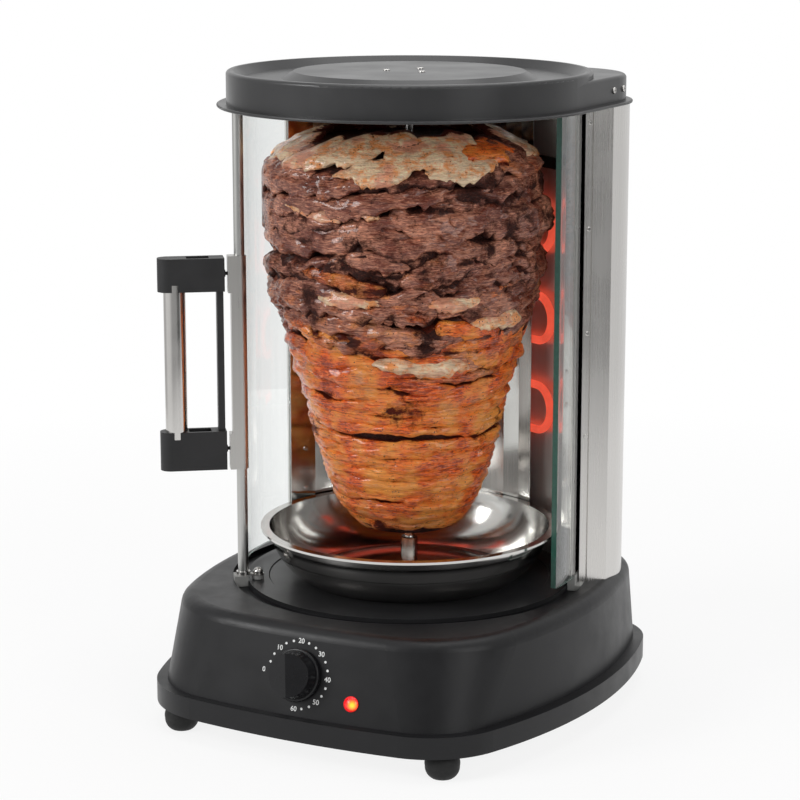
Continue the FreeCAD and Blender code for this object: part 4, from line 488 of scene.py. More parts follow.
class MeatGuide:
    """Radius of the load at any height and bearing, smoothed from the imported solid."""

    def __init__(self):
        tree = solid_tree("meat_stack")
        self.levels = np.linspace(MEAT_LOW + GUIDE_MARGIN, MEAT_HIGH - GUIDE_MARGIN, GUIDE_LEVELS)
        self.table = np.zeros((GUIDE_LEVELS, GUIDE_TURNS))
        for row, level in enumerate(self.levels):
            for column in range(GUIDE_TURNS):
                bearing = math.tau * column / GUIDE_TURNS
                out = Vector((math.sin(bearing), -math.cos(bearing), 0))
                centre = Vector((SPIT_AXIS.x, SPIT_AXIS.y, level))
                found = tree.ray_cast(centre + out * RAY_REACH, -out)[0]
                self.table[row, column] = (found - centre).length if found else 0.0
        self.table = levelled(self.table, GUIDE_SMOOTHING)

    def radius(self, bearing, height):
        """Radius in metres for arrays of bearings in radians and heights in metres."""
        row = (np.asarray(height) - self.levels[0]) / (self.levels[-1] - self.levels[0])
        row = np.clip(row, 0, 1) * (GUIDE_LEVELS - 1)
        column = (np.asarray(bearing) / math.tau * GUIDE_TURNS) % GUIDE_TURNS
        low_row = np.clip(np.floor(row).astype(int), 0, GUIDE_LEVELS - 2)
        low_column = np.floor(column).astype(int) % GUIDE_TURNS
        next_column = (low_column + 1) % GUIDE_TURNS
        up, along = row - low_row, column - np.floor(column)
        below, above = (
            self.table[level, low_column] * (1 - along) + self.table[level, next_column] * along
            for level in (low_row, low_row + 1))
        return below * (1 - up) + above * up


class MeshHeap:
    """Rings of points gathered into one mesh, with a tone for every point."""

    def __init__(self):
        self.points, self.faces, self.tones = [], [], []
        self.count = 0

    def add_grid(self, points, tones):
        """Closed rings one after another, shut with a face at both ends."""
        rings, around = points.shape[:2]
        first = self.count
        self.points.append(points.reshape(-1, 3))
        self.tones.append(tones.reshape(-1, 3))
        index = first + np.arange(rings * around).reshape(rings, around)
        following = np.roll(index, -1, axis=1)
        quads = np.stack([index[:-1], following[:-1], following[1:], index[1:]], axis=-1)
        self.faces.extend(map(tuple, quads.reshape(-1, 4).tolist()))
        self.faces.append(tuple(reversed(index[0].tolist())))
        self.faces.append(tuple(index[-1].tolist()))
        self.count += rings * around

    def build(self, name, material):
        points, tones = np.concatenate(self.points), np.concatenate(self.tones)
        mesh = bpy.data.meshes.new(name)
        mesh.from_pydata(points.tolist(), [], self.faces)
        colours = np.concatenate([np.clip(tones, 0, 1), np.ones((len(tones), 1))], axis=1)
        layer = mesh.attributes.new("tone", "FLOAT_COLOR", "POINT")
        layer.data.foreach_set("color", colours.astype(np.float32).ravel())
        mesh.materials.append(material)
        mesh.validate()
        mesh.shade_smooth()
        return linked(name, mesh)


SLICE_STEPS = 84
# Points round the section that show and that are hidden, and the angle in degrees between the two
SECTION_OUTER = 17
SECTION_INNER = 3
SECTION_EDGE = 112
# How far a slice reaches into the load, how much lower its ends lie, and how thin they are
SLICE_DEPTH = 0.010
END_DROP = 0.0065
END_HEIGHT = 0.12
# Sizes in metres of the pattern that sways a slice and of its lumps along and up
SWAY_SIZE = 0.030
LUMP_LENGTH = 0.011
LUMP_HEIGHT = 0.006
BLOTCH_SIZE = 0.030


def section_angles():
    """Angles round a slice's section: close together outside, far apart where it is hidden."""
    edge, far_edge = math.radians(SECTION_EDGE), math.radians(360 - SECTION_EDGE)
    outer = np.linspace(-edge, edge, SECTION_OUTER)
    inner = np.linspace(edge, far_edge, SECTION_INNER + 2)[1:-1]
    return np.concatenate([outer, inner])


def round_spit(radius, turn, level):
    """Points at a radius, bearing and height round the spit."""
    across, back = SPIT_AXIS.x + radius * np.sin(turn), SPIT_AXIS.y - radius * np.cos(turn)
    return np.stack([across, back, level], axis=-1)


class Slice(NamedTuple):
    """Where a slice lies, how it is cut and how it is roasted."""

    seed: int
    bearing: float
    height: float
    span: float
    tall: float
    out: float
    tilt: float
    wave: float
    ragged: float
    fine: float
    char: float
    spice: float
    fat: float


def slice_rings(guide, cut):
    """Points of one slice: a band of meat that lies round the load and tapers at both ends."""
    seed = cut.seed
    along = np.linspace(-1, 1, SLICE_STEPS)
    around = section_angles()
    turn = cut.bearing + along * cut.span / 2
    reach = float(guide.radius(cut.bearing, cut.height))
    taper = np.clip(1 - np.abs(along) ** 2.6, 0, 1) ** 0.55
    walk = np.stack([
        turn * reach / SWAY_SIZE, np.full_like(turn, seed * 3.1), np.zeros_like(turn)], axis=-1)
    sway = soft_noise(walk, seed) + 0.45 * soft_noise(walk * 2.7, seed + 3)
    middle = cut.height + cut.tilt * along * cut.span * reach / 2 + cut.wave * sway
    half = cut.tall / 2 * (END_HEIGHT + (1 - END_HEIGHT) * taper)
    half = half * (1 + 0.34 * soft_noise(walk * 1.7, seed + 5))
    turn_grid, around_grid = np.meshgrid(turn, around, indexing="ij")
    rise = np.sign(np.sin(around_grid)) * np.abs(np.sin(around_grid)) ** 0.85
    reach_out = np.sign(np.cos(around_grid)) * np.abs(np.cos(around_grid)) ** 0.62
    level = middle[:, None] + half[:, None] * rise
    shape = np.stack([
        turn_grid * reach / LUMP_LENGTH, level / LUMP_HEIGHT, np.full_like(level, seed * 1.7)], axis=-1)
    lumps = rough_noise(shape, seed + 11, 2)
    threads = soft_noise(shape * np.array([0.7, 4.2, 1.0]) + 3.0, seed + 17)
    folds = 1 - 2 * np.abs(soft_noise(shape * np.array([0.55, 1.1, 1.0]) + 5.0, seed + 29))
    lower_edge = np.clip(-rise, 0, 1) ** 2 * np.clip(reach_out + 0.5, 0, 1)
    tears = rough_noise(shape * np.array([2.2, 0.2, 1.0]) + 9.0, seed + 23, 2)
    level = level - lower_edge * cut.ragged * (0.5 + 1.3 * tears)
    face = np.clip(reach_out, 0, 1)
    swell = cut.out - (1 - taper[:, None]) * END_DROP - SLICE_DEPTH + SLICE_DEPTH * reach_out
    swell = swell - rise * face * (0.0006 + cut.out * 0.42)
    relief = cut.fine * (1.9 * lumps + 1.0 * threads + 2.0 * folds)
    radius = guide.radius(turn_grid, level) + swell + face * relief
    radius = np.clip(radius, MEAT_HEART, MEAT_REACH)
    level = np.clip(level, MEAT_LOW + 0.001, MEAT_HIGH - 0.0005)
    points = round_spit(radius, turn_grid, level)
    # Painted shade in the creases of the folds
    crease_shade = np.clip(0.35 - folds, 0, 1)
    return points, slice_tones(cut, points, around_grid, lumps, threads, crease_shade)


def slice_tones(cut, points, around, lumps, threads, crease_shade):
    """Char and painted shade, spice and fat of every point: char on the slice, its lumps and blotches, and
    painted shade under the lower lip, in creases and on the bare, hidden sides.
    """
    # Painted shade under each slice's lower lip and on its hidden top and bottom sides
    lower_lip_shade = np.clip(-np.sin(around) - 0.35, 0, 1)
    hidden = np.clip(np.abs(np.sin(around)) - 0.72, 0, 1) * 3
    blotch = np.clip(rough_noise(points / BLOTCH_SIZE, 5, 2) - 0.26, 0, 1) * 1.9
    lean = 1 - 0.85 * cut.fat
    # Char of the slice, its lumps and blotches, with the painted shade of the lip, the creases and the
    # hidden sides added in
    dark_char_and_shade = cut.char + 0.28 * lower_lip_shade * (0.3 + cut.char) + 0.30 * lumps * (0.25 + cut.char)
    dark_char_and_shade = (dark_char_and_shade + 0.75 * crease_shade * (0.25 + cut.char) + blotch) * lean + 0.5 * hidden
    warm = cut.spice + 0.22 * lumps + 0.10 * threads
    white = cut.fat + 0.30 * cut.fat * lumps
    return np.stack([dark_char_and_shade, warm, white], axis=-1)


def height_share(height):
    """How far up the load a height is, from 0 to 1."""
    return (height - MEAT_LOW) / (MEAT_HIGH - MEAT_LOW)


def step_between(low, high, value):
    """A soft step from 0 at low to 1 at high."""
    share = min(max((value - low) / (high - low), 0.0), 1.0)
    return share * share * (3 - 2 * share)


def looseness(share):
    """0 in the smooth lower rows and 1 in the ragged upper ones."""
    return step_between(0.36, 0.62, share)


def lay_row(heap, guide, dice, height, seed):
    """One row of slices round the load, looser and darker the higher it lies."""
    share = height_share(height)
    loose = looseness(share)
    count = 4 if share > 0.16 else 3
    start = dice.uniform(0, math.tau)
    for index in range(count):
        tall = (0.0135 + 0.0055 * loose) * dice.uniform(0.7, 1.45)
        cut = Slice(
            seed=seed * 7 + index,
            bearing=start + math.tau * (index + dice.uniform(-0.18, 0.18)) / count,
            height=height + dice.uniform(-0.3, 0.3) * tall,
            span=math.tau / count * dice.uniform(1.05, 1.6),
            tall=tall,
            out=(0.0007 + 0.0052 * loose) * dice.uniform(-0.5, 1.6),
            tilt=dice.uniform(-1, 1) * (0.035 + 0.085 * loose),
            wave=0.0022 + 0.0048 * loose,
            ragged=0.0014 + 0.0050 * loose,
            fine=0.00060 + 0.00085 * loose,
            char=0.04 + 0.50 * step_between(0.40, 0.70, share) * dice.uniform(0.0, 1.3),
            spice=1 - step_between(0.36, 0.68, share + dice.uniform(-0.12, 0.12)),
            fat=0.0)
        heap.add_grid(*slice_rings(guide, cut))


def lay_flap(heap, guide, dice, share, seed):
    """A short loose piece that stands out of the row behind it."""
    loose = looseness(share)
    is_fat = dice.random() < 0.13 * loose
    cut = Slice(
        seed=seed,
        bearing=dice.uniform(0, math.tau),
        height=MEAT_LOW + share * (MEAT_HIGH - MEAT_LOW),
        span=dice.uniform(0.30, 0.85),
        tall=(0.0075 + 0.0070 * loose) * dice.uniform(0.7, 1.5),
        out=(0.0018 + 0.0042 * loose) * dice.uniform(0.6, 1.4),
        tilt=dice.uniform(-1, 1) * (0.07 + 0.16 * loose),
        wave=0.0016 + 0.0030 * loose,
        ragged=0.0010 + 0.0030 * loose,
        fine=0.0005 + 0.0006 * loose,
        char=0.02 + 0.55 * step_between(0.42, 0.70, share) * dice.uniform(0.0, 1.1),
        spice=1 - step_between(0.40, 0.72, share + dice.uniform(-0.14, 0.14)),
        fat=dice.uniform(0.5, 0.9) if is_fat else 0.0)
    heap.add_grid(*slice_rings(guide, cut))


# Pieces on top: bearing in degrees, depth below the top in metres, span in degrees, height, how far
# they stand out, spice and fat
CROWN_PIECES = (
    (-42, 0.026, 46, 0.020, 0.0085, 0.1, 0.0), (-14, 0.016, 42, 0.018, 0.0105, 0.8, 0.95),
    (12, 0.010, 34, 0.015, 0.0060, 0.7, 0.90), (44, 0.009, 46, 0.015, 0.0080, 0.7, 0.80),
    (27, 0.023, 50, 0.020, 0.0125, 0.5, 1.0), (52, 0.026, 34, 0.013, 0.0110, 0.5, 0.85),
    (74, 0.016, 40, 0.018, 0.0100, 0.9, 0.10), (96, 0.026, 44, 0.020, 0.0100, 0.3, 0.0),
    (2, 0.035, 44, 0.016, 0.0095, 0.2, 0.0), (-28, 0.040, 40, 0.016, 0.0085, 0.0, 0.0),
    (66, 0.040, 40, 0.016, 0.0090, 0.1, 0.0), (128, 0.015, 50, 0.020, 0.0100, 0.7, 0.9),
    (170, 0.016, 54, 0.021, 0.0100, 0.8, 0.3), (216, 0.015, 50, 0.020, 0.0110, 0.6, 0.85),
    (258, 0.016, 52, 0.021, 0.0100, 0.8, 0.1), (298, 0.016, 46, 0.019, 0.0100, 0.7, 0.8),
    (150, 0.036, 60, 0.018, 0.0090, 0.1, 0.0), (200, 0.037, 56, 0.018, 0.0090, 0.1, 0.0),
    (250, 0.036, 56, 0.018, 0.0090, 0.1, 0.0), (300, 0.037, 54, 0.018, 0.0090, 0.1, 0.0),
)


def lay_crown(heap, guide, dice):
    """The big pieces of fat and browned meat that close the stack."""
    for index, (bearing, depth, span, tall, out, spice, fat) in enumerate(CROWN_PIECES):
        cut = Slice(
            seed=CROWN_SEED + index,
            bearing=math.radians(bearing),
            height=MEAT_HIGH - depth,
            span=math.radians(span) * 1.25,
            tall=tall,
            out=out,
            tilt=dice.uniform(-0.16, 0.16),
            wave=0.0050,
            ragged=0.0050,
            fine=0.0017,
            char=0.30 * dice.uniform(0.3, 1.5) * (1 - fat),
            spice=spice,
            fat=fat)
        heap.add_grid(*slice_rings(guide, cut))


# Pieces that catch the eye from the front, as above but with their height above the meat's foot
MARKED_PIECES = (
    (2, 0.215, 24, 0.016, 0.0100, 0.85, 0.75), (47, 0.212, 20, 0.011, 0.0090, 0.3, 0.9),
    (70, 0.196, 26, 0.015, 0.0100, 0.2, 0.7), (36, 0.158, 44, 0.012, 0.0060, 0.4, 0.55),
)


def lay_marked(heap, guide, dice):
    """The few pale pieces half way up."""
    for index, (bearing, height, span, tall, out, spice, fat) in enumerate(MARKED_PIECES):
        cut = Slice(
            seed=MARKED_SEED + index,
            bearing=math.radians(bearing),
            height=MEAT_LOW + height,
            span=math.radians(span) * 1.2,
            tall=tall,
            out=out,
            tilt=dice.uniform(-0.10, 0.10),
            wave=0.0020,
            ragged=0.0030,
            fine=0.0008,
            char=0.0,
            spice=spice,
            fat=fat)
        heap.add_grid(*slice_rings(guide, cut))


RELIEF_TURNS = 400
RELIEF_LEVELS = 260
RELIEF_REACH = 7
# How far behind the load's outline the surface is taken to be where nothing lies further out
RELIEF_GAP = 0.003
# How deep a hollow starts to darken with painted shade and over what depth it turns black, and the height
# over which the foot darkens
HOLLOW_START = 0.0006
HOLLOW_DEPTH = 0.0032
FOOT_HEIGHT = 0.022


def paint_hollow_shade(heaps, guide):
    """Paints shade, in the char channel, on the points that lie deeper than the surface round them, and
    darkens the foot.
    """
    def cells(points):
        bearing = np.arctan2(points[:, 0] - SPIT_AXIS.x, SPIT_AXIS.y - points[:, 1]) % math.tau
        column = (bearing / math.tau * RELIEF_TURNS).astype(int) % RELIEF_TURNS
        row = np.clip((height_share(points[:, 2]) * RELIEF_LEVELS).astype(int), 0, RELIEF_LEVELS - 1)
        return row, column, np.hypot(points[:, 0] - SPIT_AXIS.x, points[:, 1] - SPIT_AXIS.y)

    turns = np.arange(RELIEF_TURNS) * math.tau / RELIEF_TURNS
    levels = MEAT_LOW + (np.arange(RELIEF_LEVELS) + 0.5) / RELIEF_LEVELS * (MEAT_HIGH - MEAT_LOW)
    outer = guide.radius(turns[None, :], levels[:, None]) - RELIEF_GAP
    for heap in heaps:
        for points in heap.points:
            row, column, radius = cells(points)
            np.maximum.at(outer, (row, column), radius)
    shifts = range(-RELIEF_REACH, RELIEF_REACH + 1)
    around = sum(np.roll(outer, shift, axis=1) for shift in shifts) / len(shifts)
    level = levelled(around, RELIEF_REACH)
    for heap in heaps:
        for points, tones in zip(heap.points, heap.tones):
            row, column, radius = cells(points)
            # Painted shade in the hollows; the meat is also darker towards its foot
            depth = np.clip((level[row, column] - radius - HOLLOW_START) / HOLLOW_DEPTH, 0, 1)
            foot = np.clip(1 - (points[:, 2] - MEAT_LOW) / FOOT_HEIGHT, 0, 1)
            tones[:, 0] += 0.95 * depth * (1 - 0.30 * np.clip(tones[:, 1], 0, 1)) + 0.6 * foot


CORE_LEVELS = 70
CORE_TURNS = 96
# How far the body lies behind the load's outline and its ends, and how lumpy it is
CORE_GAP = 0.007
CORE_FOOT_GAP = 0.002
CORE_TOP_GAP = 0.012
CORE_LUMPS = 0.0025


def meat_core(guide):
    """The closed body behind the slices, toned dark as painted shade in the gaps between them."""
    heap = MeshHeap()
    levels = np.linspace(MEAT_LOW + CORE_FOOT_GAP, MEAT_HIGH - CORE_TOP_GAP, CORE_LEVELS)
    turns = np.linspace(0, math.tau, CORE_TURNS, endpoint=False)
    turn_grid, level_grid = np.meshgrid(turns, levels)
    shape = np.stack([np.sin(turn_grid) * 4, np.cos(turn_grid) * 4, level_grid / 0.012], axis=-1)
    lumps = rough_noise(shape, 3, 3)
    radius = guide.radius(turn_grid, level_grid) - CORE_GAP + CORE_LUMPS * lumps
    radius = np.maximum(radius, MEAT_HEART)
    points = round_spit(radius, turn_grid, level_grid)
    # Mostly char tone: painted shade where the body shows between the slices
    tones = np.stack([0.75 + 0.2 * lumps, 0.3 + 0 * lumps, 0 * lumps], axis=-1)
    heap.add_grid(points, tones)
    return heap


def meat_finish(look):
    """Roasted meat: fibres along the slices, burnt crust and painted shade, spice and fat by the tone of
    each point.
    """
    finish = Finish("roast_meat")
    tone = finish.node("ShaderNodeAttribute", attribute_name="tone", attribute_type="GEOMETRY")
    split = finish.node("ShaderNodeSeparateColor", {"Color": tone.outputs["Color"]})
    # The red channel holds char and painted shade, the green spice and the blue fat
    char, spice, fat = (split.outputs[name] for name in ("Red", "Green", "Blue"))
    fibres = finish.noise(1.0, 5.0, 0.62, finish.stretched((85, 85, 620)), 0.6)
    strands = finish.noise(1.0, 4.0, 0.6, finish.stretched((150, 150, 900), (3, 1, 2)), 0.9)
    grain = finish.noise(1.0, 3.0, 0.6, finish.stretched((500, 500, 1500)))
    patches = finish.noise(34, 4.0, 0.62)
    blots = finish.noise(92, 5.0, 0.66)
    light = finish.math(
        "ADD", finish.math("MULTIPLY", strands, 0.55), finish.math("MULTIPLY", patches, 0.45))
    flesh = finish.mixed(finish.ranged(light, 0.45, 0.63), tuple(look.lean), tuple(look.pale))
    warm_amount = finish.math("ADD", spice, finish.ranged(blots, 0.3, 0.7, -0.28, 0.22))
    warm = finish.mixed(finish.ranged(patches, 0.42, 0.62), tuple(look.spiced), (1.0, 0.36, 0.060, 1))
    warm = finish.mixed(finish.ranged(light, 0.49, 0.39), warm, (0.34, 0.030, 0.005, 1))
    warm = finish.mixed(finish.ranged(strands, 0.60, 0.72), warm, (1.0, 0.50, 0.22, 1))
    body = finish.mixed(finish.ranged(warm_amount, 0.25, 0.75), flesh, warm)
    creamy = finish.mixed(finish.ranged(blots, 0.46, 0.60), tuple(look.fat), (1.0, 0.38, 0.12, 1))
    creamy = finish.mixed(finish.ranged(patches, 0.50, 0.60), creamy, tuple(look.pale))
    body = finish.mixed(finish.ranged(fat, 0.2, 0.6), body, creamy)
    body = finish.shade(body, fibres, 0.62, 1.45)
    # Char and painted shade both take the dark colour below
    char_and_shade_amount = finish.math("ADD", char, finish.ranged(blots, 0.25, 0.75, -0.42, 0.42))
    char_and_shade_amount = finish.math("ADD", char_and_shade_amount, finish.ranged(grain, 0.3, 0.7, -0.12, 0.12))
    dark_char_and_shade = finish.mixed(finish.ranged(grain, 0.40, 0.7), tuple(look.char), (0.11, 0.030, 0.020, 1))
    dark_char_and_shade = finish.mixed(finish.ranged(spice, 0.4, 0.8), dark_char_and_shade, (0.095, 0.012, 0.005, 1))
    body = finish.mixed(finish.ranged(char_and_shade_amount, 0.44, 0.80), body, dark_char_and_shade)
    crumbs = finish.node("ShaderNodeTexVoronoi", {"Vector": finish.place, "Scale": 330})
    crumbed = finish.math("MULTIPLY", finish.ranged(blots, 0.50, 0.60), finish.ranged(
        crumbs.outputs["Distance"], 0.24, 0.16))
    body = finish.mixed(crumbed, body, tuple(look.char))
    height = finish.math("ADD", fibres, finish.math("MULTIPLY", grain, 0.8))
    height = finish.math("ADD", height, finish.math("MULTIPLY", strands, 0.7))
    normal = finish.bump(height, 0.0026, 1.0, finish.bump(blots, 0.0032, 0.9))
    roughness = finish.math("ADD", finish.ranged(patches, 0.35, 0.65, 0.26, 0.50), finish.ranged(
        char_and_shade_amount, 0.4, 0.8, 0.0, 0.25))
    return finish.done(finish.principled(
        base_color=body, roughness=roughness, normal=normal,
        specular_ior_level=finish.ranged(char_and_shade_amount, 0.35, 0.75, 0.32, 0.10),
        coat_weight=finish.ranged(char_and_shade_amount, 0.35, 0.75, 0.6, 0.06), coat_roughness=0.07))


# Geometry Nodes


class NodeTree(NodeWork):
    """A Geometry Nodes tree whose sizes are named inputs."""

    def __init__(self, name, sizes):
        super().__init__(bpy.data.node_groups.new(name, "GeometryNodeTree"))
        face = self.tree.interface
        face.new_socket("Geometry", in_out="INPUT", socket_type="NodeSocketGeometry")
        self.values = {}
        for size, value in sizes.items():
            kind = "NodeSocketInt" if isinstance(value, int) else "NodeSocketFloat"
            self.values[face.new_socket(size, in_out="INPUT", socket_type=kind).identifier] = value
        face.new_socket("Geometry", in_out="OUTPUT", socket_type="NodeSocketGeometry")
        self.size = self.node("NodeGroupInput").outputs

    def close(self, geometry, material):
        """Ends the tree in real, finished geometry."""
        real = self.node("GeometryNodeRealizeInstances", {"Geometry": geometry}).outputs["Geometry"]
        finished = self.node("GeometryNodeSetMaterial", {"Geometry": real, "Material": material})
        self.node("NodeGroupOutput", {"Geometry": finished.outputs["Geometry"]})

    def run(self, name):
        """The tree's result as a plain piece."""
        carrier = linked(f"{name}_carrier", bpy.data.meshes.new(f"{name}_seed"))
        modifier = carrier.modifiers.new("pattern", "NODES")
        modifier.node_group = self.tree
        for identifier, value in self.values.items():
            modifier[identifier] = value
        bpy.context.view_layer.update()
        evaluated = carrier.evaluated_get(bpy.context.evaluated_depsgraph_get())
        mesh = bpy.data.meshes.new_from_object(evaluated)
        mesh.name = name
        carrier.modifiers.remove(modifier)
        bpy.data.objects.remove(carrier)
        return linked(name, mesh)


# The timer's dial

NUMBERS = 7
MINUTES_PER_NUMBER = 10
MARKS_PER_NUMBER = 3
MARKS = MARKS_PER_NUMBER * (NUMBERS - 1) + 1
# How far before the knob's centre a ray starts on its way to the panel, and how far it runs
RAY_START = 0.03
RAY_LENGTH = 0.08
DOT_SIDES = 20
DOT_THICKNESS = 0.00024
# The font's size over the height of its figures
FONT_RATIO = 1.38
STROKE_GROWTH = 0.00008
NUMBER_HALF_THICKNESS = 0.0001
NUMBER_LIFT = 0.00002


def dial_axes():
    """Across and up on the panel, seen from the front, and the way into it."""
    into = KNOB_AXIS.normalized()
    across = Vector((1, 0, 0))
    upward = into.cross(across).normalized()
    if upward.z < 0:
        upward = -upward
    return across, upward, into


def on_panel(tree, side, up, lift):
    """The point of the front panel at a place beside the knob's axis, lifted off it."""
    across, upward, into = dial_axes()
    start = KNOB_CENTRE + across * side + upward * up - into * RAY_START
    spot, normal = tree.ray_cast(start, into)[:2]
    if normal.dot(into) > 0:
        normal = -normal
    return spot + normal * lift


class GRILL_OT_timer_dots(bpy.types.Operator):
    """Prints the dots between the numbers of the timer's dial"""

    bl_idname = "grill.timer_dots"
    bl_label = "Timer dots"

    def execute(self, context):
        dial, colours = context.scene.grill_dial, context.scene.grill_colours
        pattern = NodeTree("dial_dots", {
            "Ring radius": dial.ring_radius, "Dot radius": dial.dot_radius,
            "Zero angle": dial.zero_angle, "Step": dial.dot_step, "Marks": MARKS})
        size = pattern.size
        across, upward, into = dial_axes()
        row = pattern.node("GeometryNodeMeshLine", {"Count": size["Marks"]}).outputs["Mesh"]
        index = pattern.node("GeometryNodeInputIndex").outputs["Index"]
        marked = pattern.node("GeometryNodeStoreNamedAttribute", {
            "Geometry": row, "Name": "mark", "Value": index}, data_type="INT", domain="POINT")
        is_number = pattern.node("FunctionNodeCompare", {
            0: pattern.math("FLOORED_MODULO", index, MARKS_PER_NUMBER), 1: 0.5},
            data_type="FLOAT", operation="LESS_THAN")
        dots = pattern.node("GeometryNodeDeleteGeometry", {
            "Geometry": marked.outputs["Geometry"], "Selection": is_number.outputs["Result"]})
        mark = pattern.node("GeometryNodeInputNamedAttribute", {"Name": "mark"}, data_type="INT")
        angle = pattern.math("ADD", size["Zero angle"], pattern.math(
            "MULTIPLY", mark.outputs["Attribute"], size["Step"]))
        side, up = (pattern.math("MULTIPLY", size["Ring radius"], pattern.math(part, angle))
                    for part in ("SINE", "COSINE"))
        offset = pattern.vector("ADD", {
            0: pattern.vector("SCALE", {0: across, "Scale": side}),
            1: pattern.vector("SCALE", {0: upward, "Scale": up})})
        start = pattern.vector("ADD", {0: offset, 1: KNOB_CENTRE - into * RAY_START})
        panel = pattern.node("GeometryNodeObjectInfo", {"Object": frame["nodes"]["base_housing"]})
        hit = pattern.node("GeometryNodeRaycast", {
            "Target Geometry": panel.outputs["Geometry"], "Source Position": start,
            "Ray Direction": into, "Ray Length": RAY_LENGTH}).outputs
        placed = pattern.node("GeometryNodeSetPosition", {
            "Geometry": dots.outputs["Geometry"], "Position": hit["Hit Position"]})
        turned = pattern.node("FunctionNodeAlignRotationToVector", {"Vector": hit["Hit Normal"]}, axis="Z")
        disc = pattern.node("GeometryNodeMeshCylinder", {
            "Vertices": DOT_SIDES, "Side Segments": 1, "Fill Segments": 1,
            "Radius": size["Dot radius"], "Depth": DOT_THICKNESS})
        spread = pattern.node("GeometryNodeInstanceOnPoints", {
            "Points": placed.outputs["Geometry"], "Instance": disc.outputs["Mesh"],
            "Rotation": turned.outputs["Rotation"]})
        pattern.close(spread.outputs["Instances"], print_ink("dial_print", colours.ink))
        piece = pattern.run("timer_dots")
        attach(piece, "frame")
        return {"FINISHED"}


class GRILL_OT_timer_numbers(bpy.types.Operator):
    """Prints the plain numbers of the timer's dial on the curved front panel"""

    bl_idname = "grill.timer_numbers"
    bl_label = "Timer numbers"

    def execute(self, context):
        dial, colours = context.scene.grill_dial, context.scene.grill_colours
        tree = solid_tree("base_housing")
        points, faces = [], []
        for index in range(NUMBERS):
            angle = dial.zero_angle + MARKS_PER_NUMBER * index * dial.dot_step
            reach = dial.ring_radius if index else dial.zero_radius
            side, up = reach * math.sin(angle), reach * math.cos(angle)
            letters = bpy.data.curves.new("number", "FONT")
            letters.body = str(index * MINUTES_PER_NUMBER)
            letters.size = dial.number_height * FONT_RATIO
            letters.align_x = letters.align_y = "CENTER"
            letters.offset = STROKE_GROWTH
            letters.extrude = NUMBER_HALF_THICKNESS
            letters.resolution_u = 8
            carrier = bpy.data.objects.new("number", letters)
            mesh = bpy.data.meshes.new_from_object(carrier)
            first = len(points)
            for spot in (vertex.co for vertex in mesh.vertices):
                points.append(on_panel(tree, side + spot.x, up + spot.y, spot.z + NUMBER_LIFT))
            faces.extend(tuple(first + corner for corner in face.vertices) for face in mesh.polygons)
            bpy.data.objects.remove(carrier)
        mesh = bpy.data.meshes.new("timer_numbers")
        mesh.from_pydata(points, [], faces)
        mesh.materials.append(print_ink("number_print", colours.ink))
        piece = linked("timer_numbers", mesh)
        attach(piece, "frame")
        return {"FINISHED"}


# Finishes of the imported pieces


class GRILL_OT_mouldings(bpy.types.Operator):
    """Finishes the moulded base, handle, knob, feet and sliders"""

    bl_idname = "grill.mouldings"
    bl_label = "Mouldings"

    def execute(self, context):
        colours = context.scene.grill_colours
        give(moulded("base_moulding", colours.moulding), "base_housing")
        give(moulded("inner_moulding", (0.02, 0.02, 0.021, 1), 0.5),
             "timer_body", "lamp_holder", "terminal_block", "cord_gland")
        give(moulded("handle_moulding", (0.022, 0.022, 0.023, 1), 0.44),
             "handle_top_end", "handle_bottom_end", "handle_strap")
        give(moulded("knob_moulding", (0.005, 0.005, 0.006, 1), 0.27), "timer_knob")
        give(moulded("slider_nylon", (0.30, 0.30, 0.29, 1), 0.5), "door_shoe", "guide_shoes", "arm_glide")
        give(rubber("foot_rubber", (0.012, 0.012, 0.012, 1)), "feet")
        return {"FINISHED"}


class GRILL_OT_paintwork(bpy.types.Operator):
    """Finishes the painted lid and the enamelled sheets"""

    bl_idname = "grill.paintwork"
    bl_label = "Paintwork"

    def execute(self, context):
        colours = context.scene.grill_colours
        give(painted("lid_paint", colours.lid), "lid_shell")
        give(painted("black_enamel", colours.enamel, 0.34), "hearth_plate", "heater_strap", "upper_track")
        return {"FINISHED"}


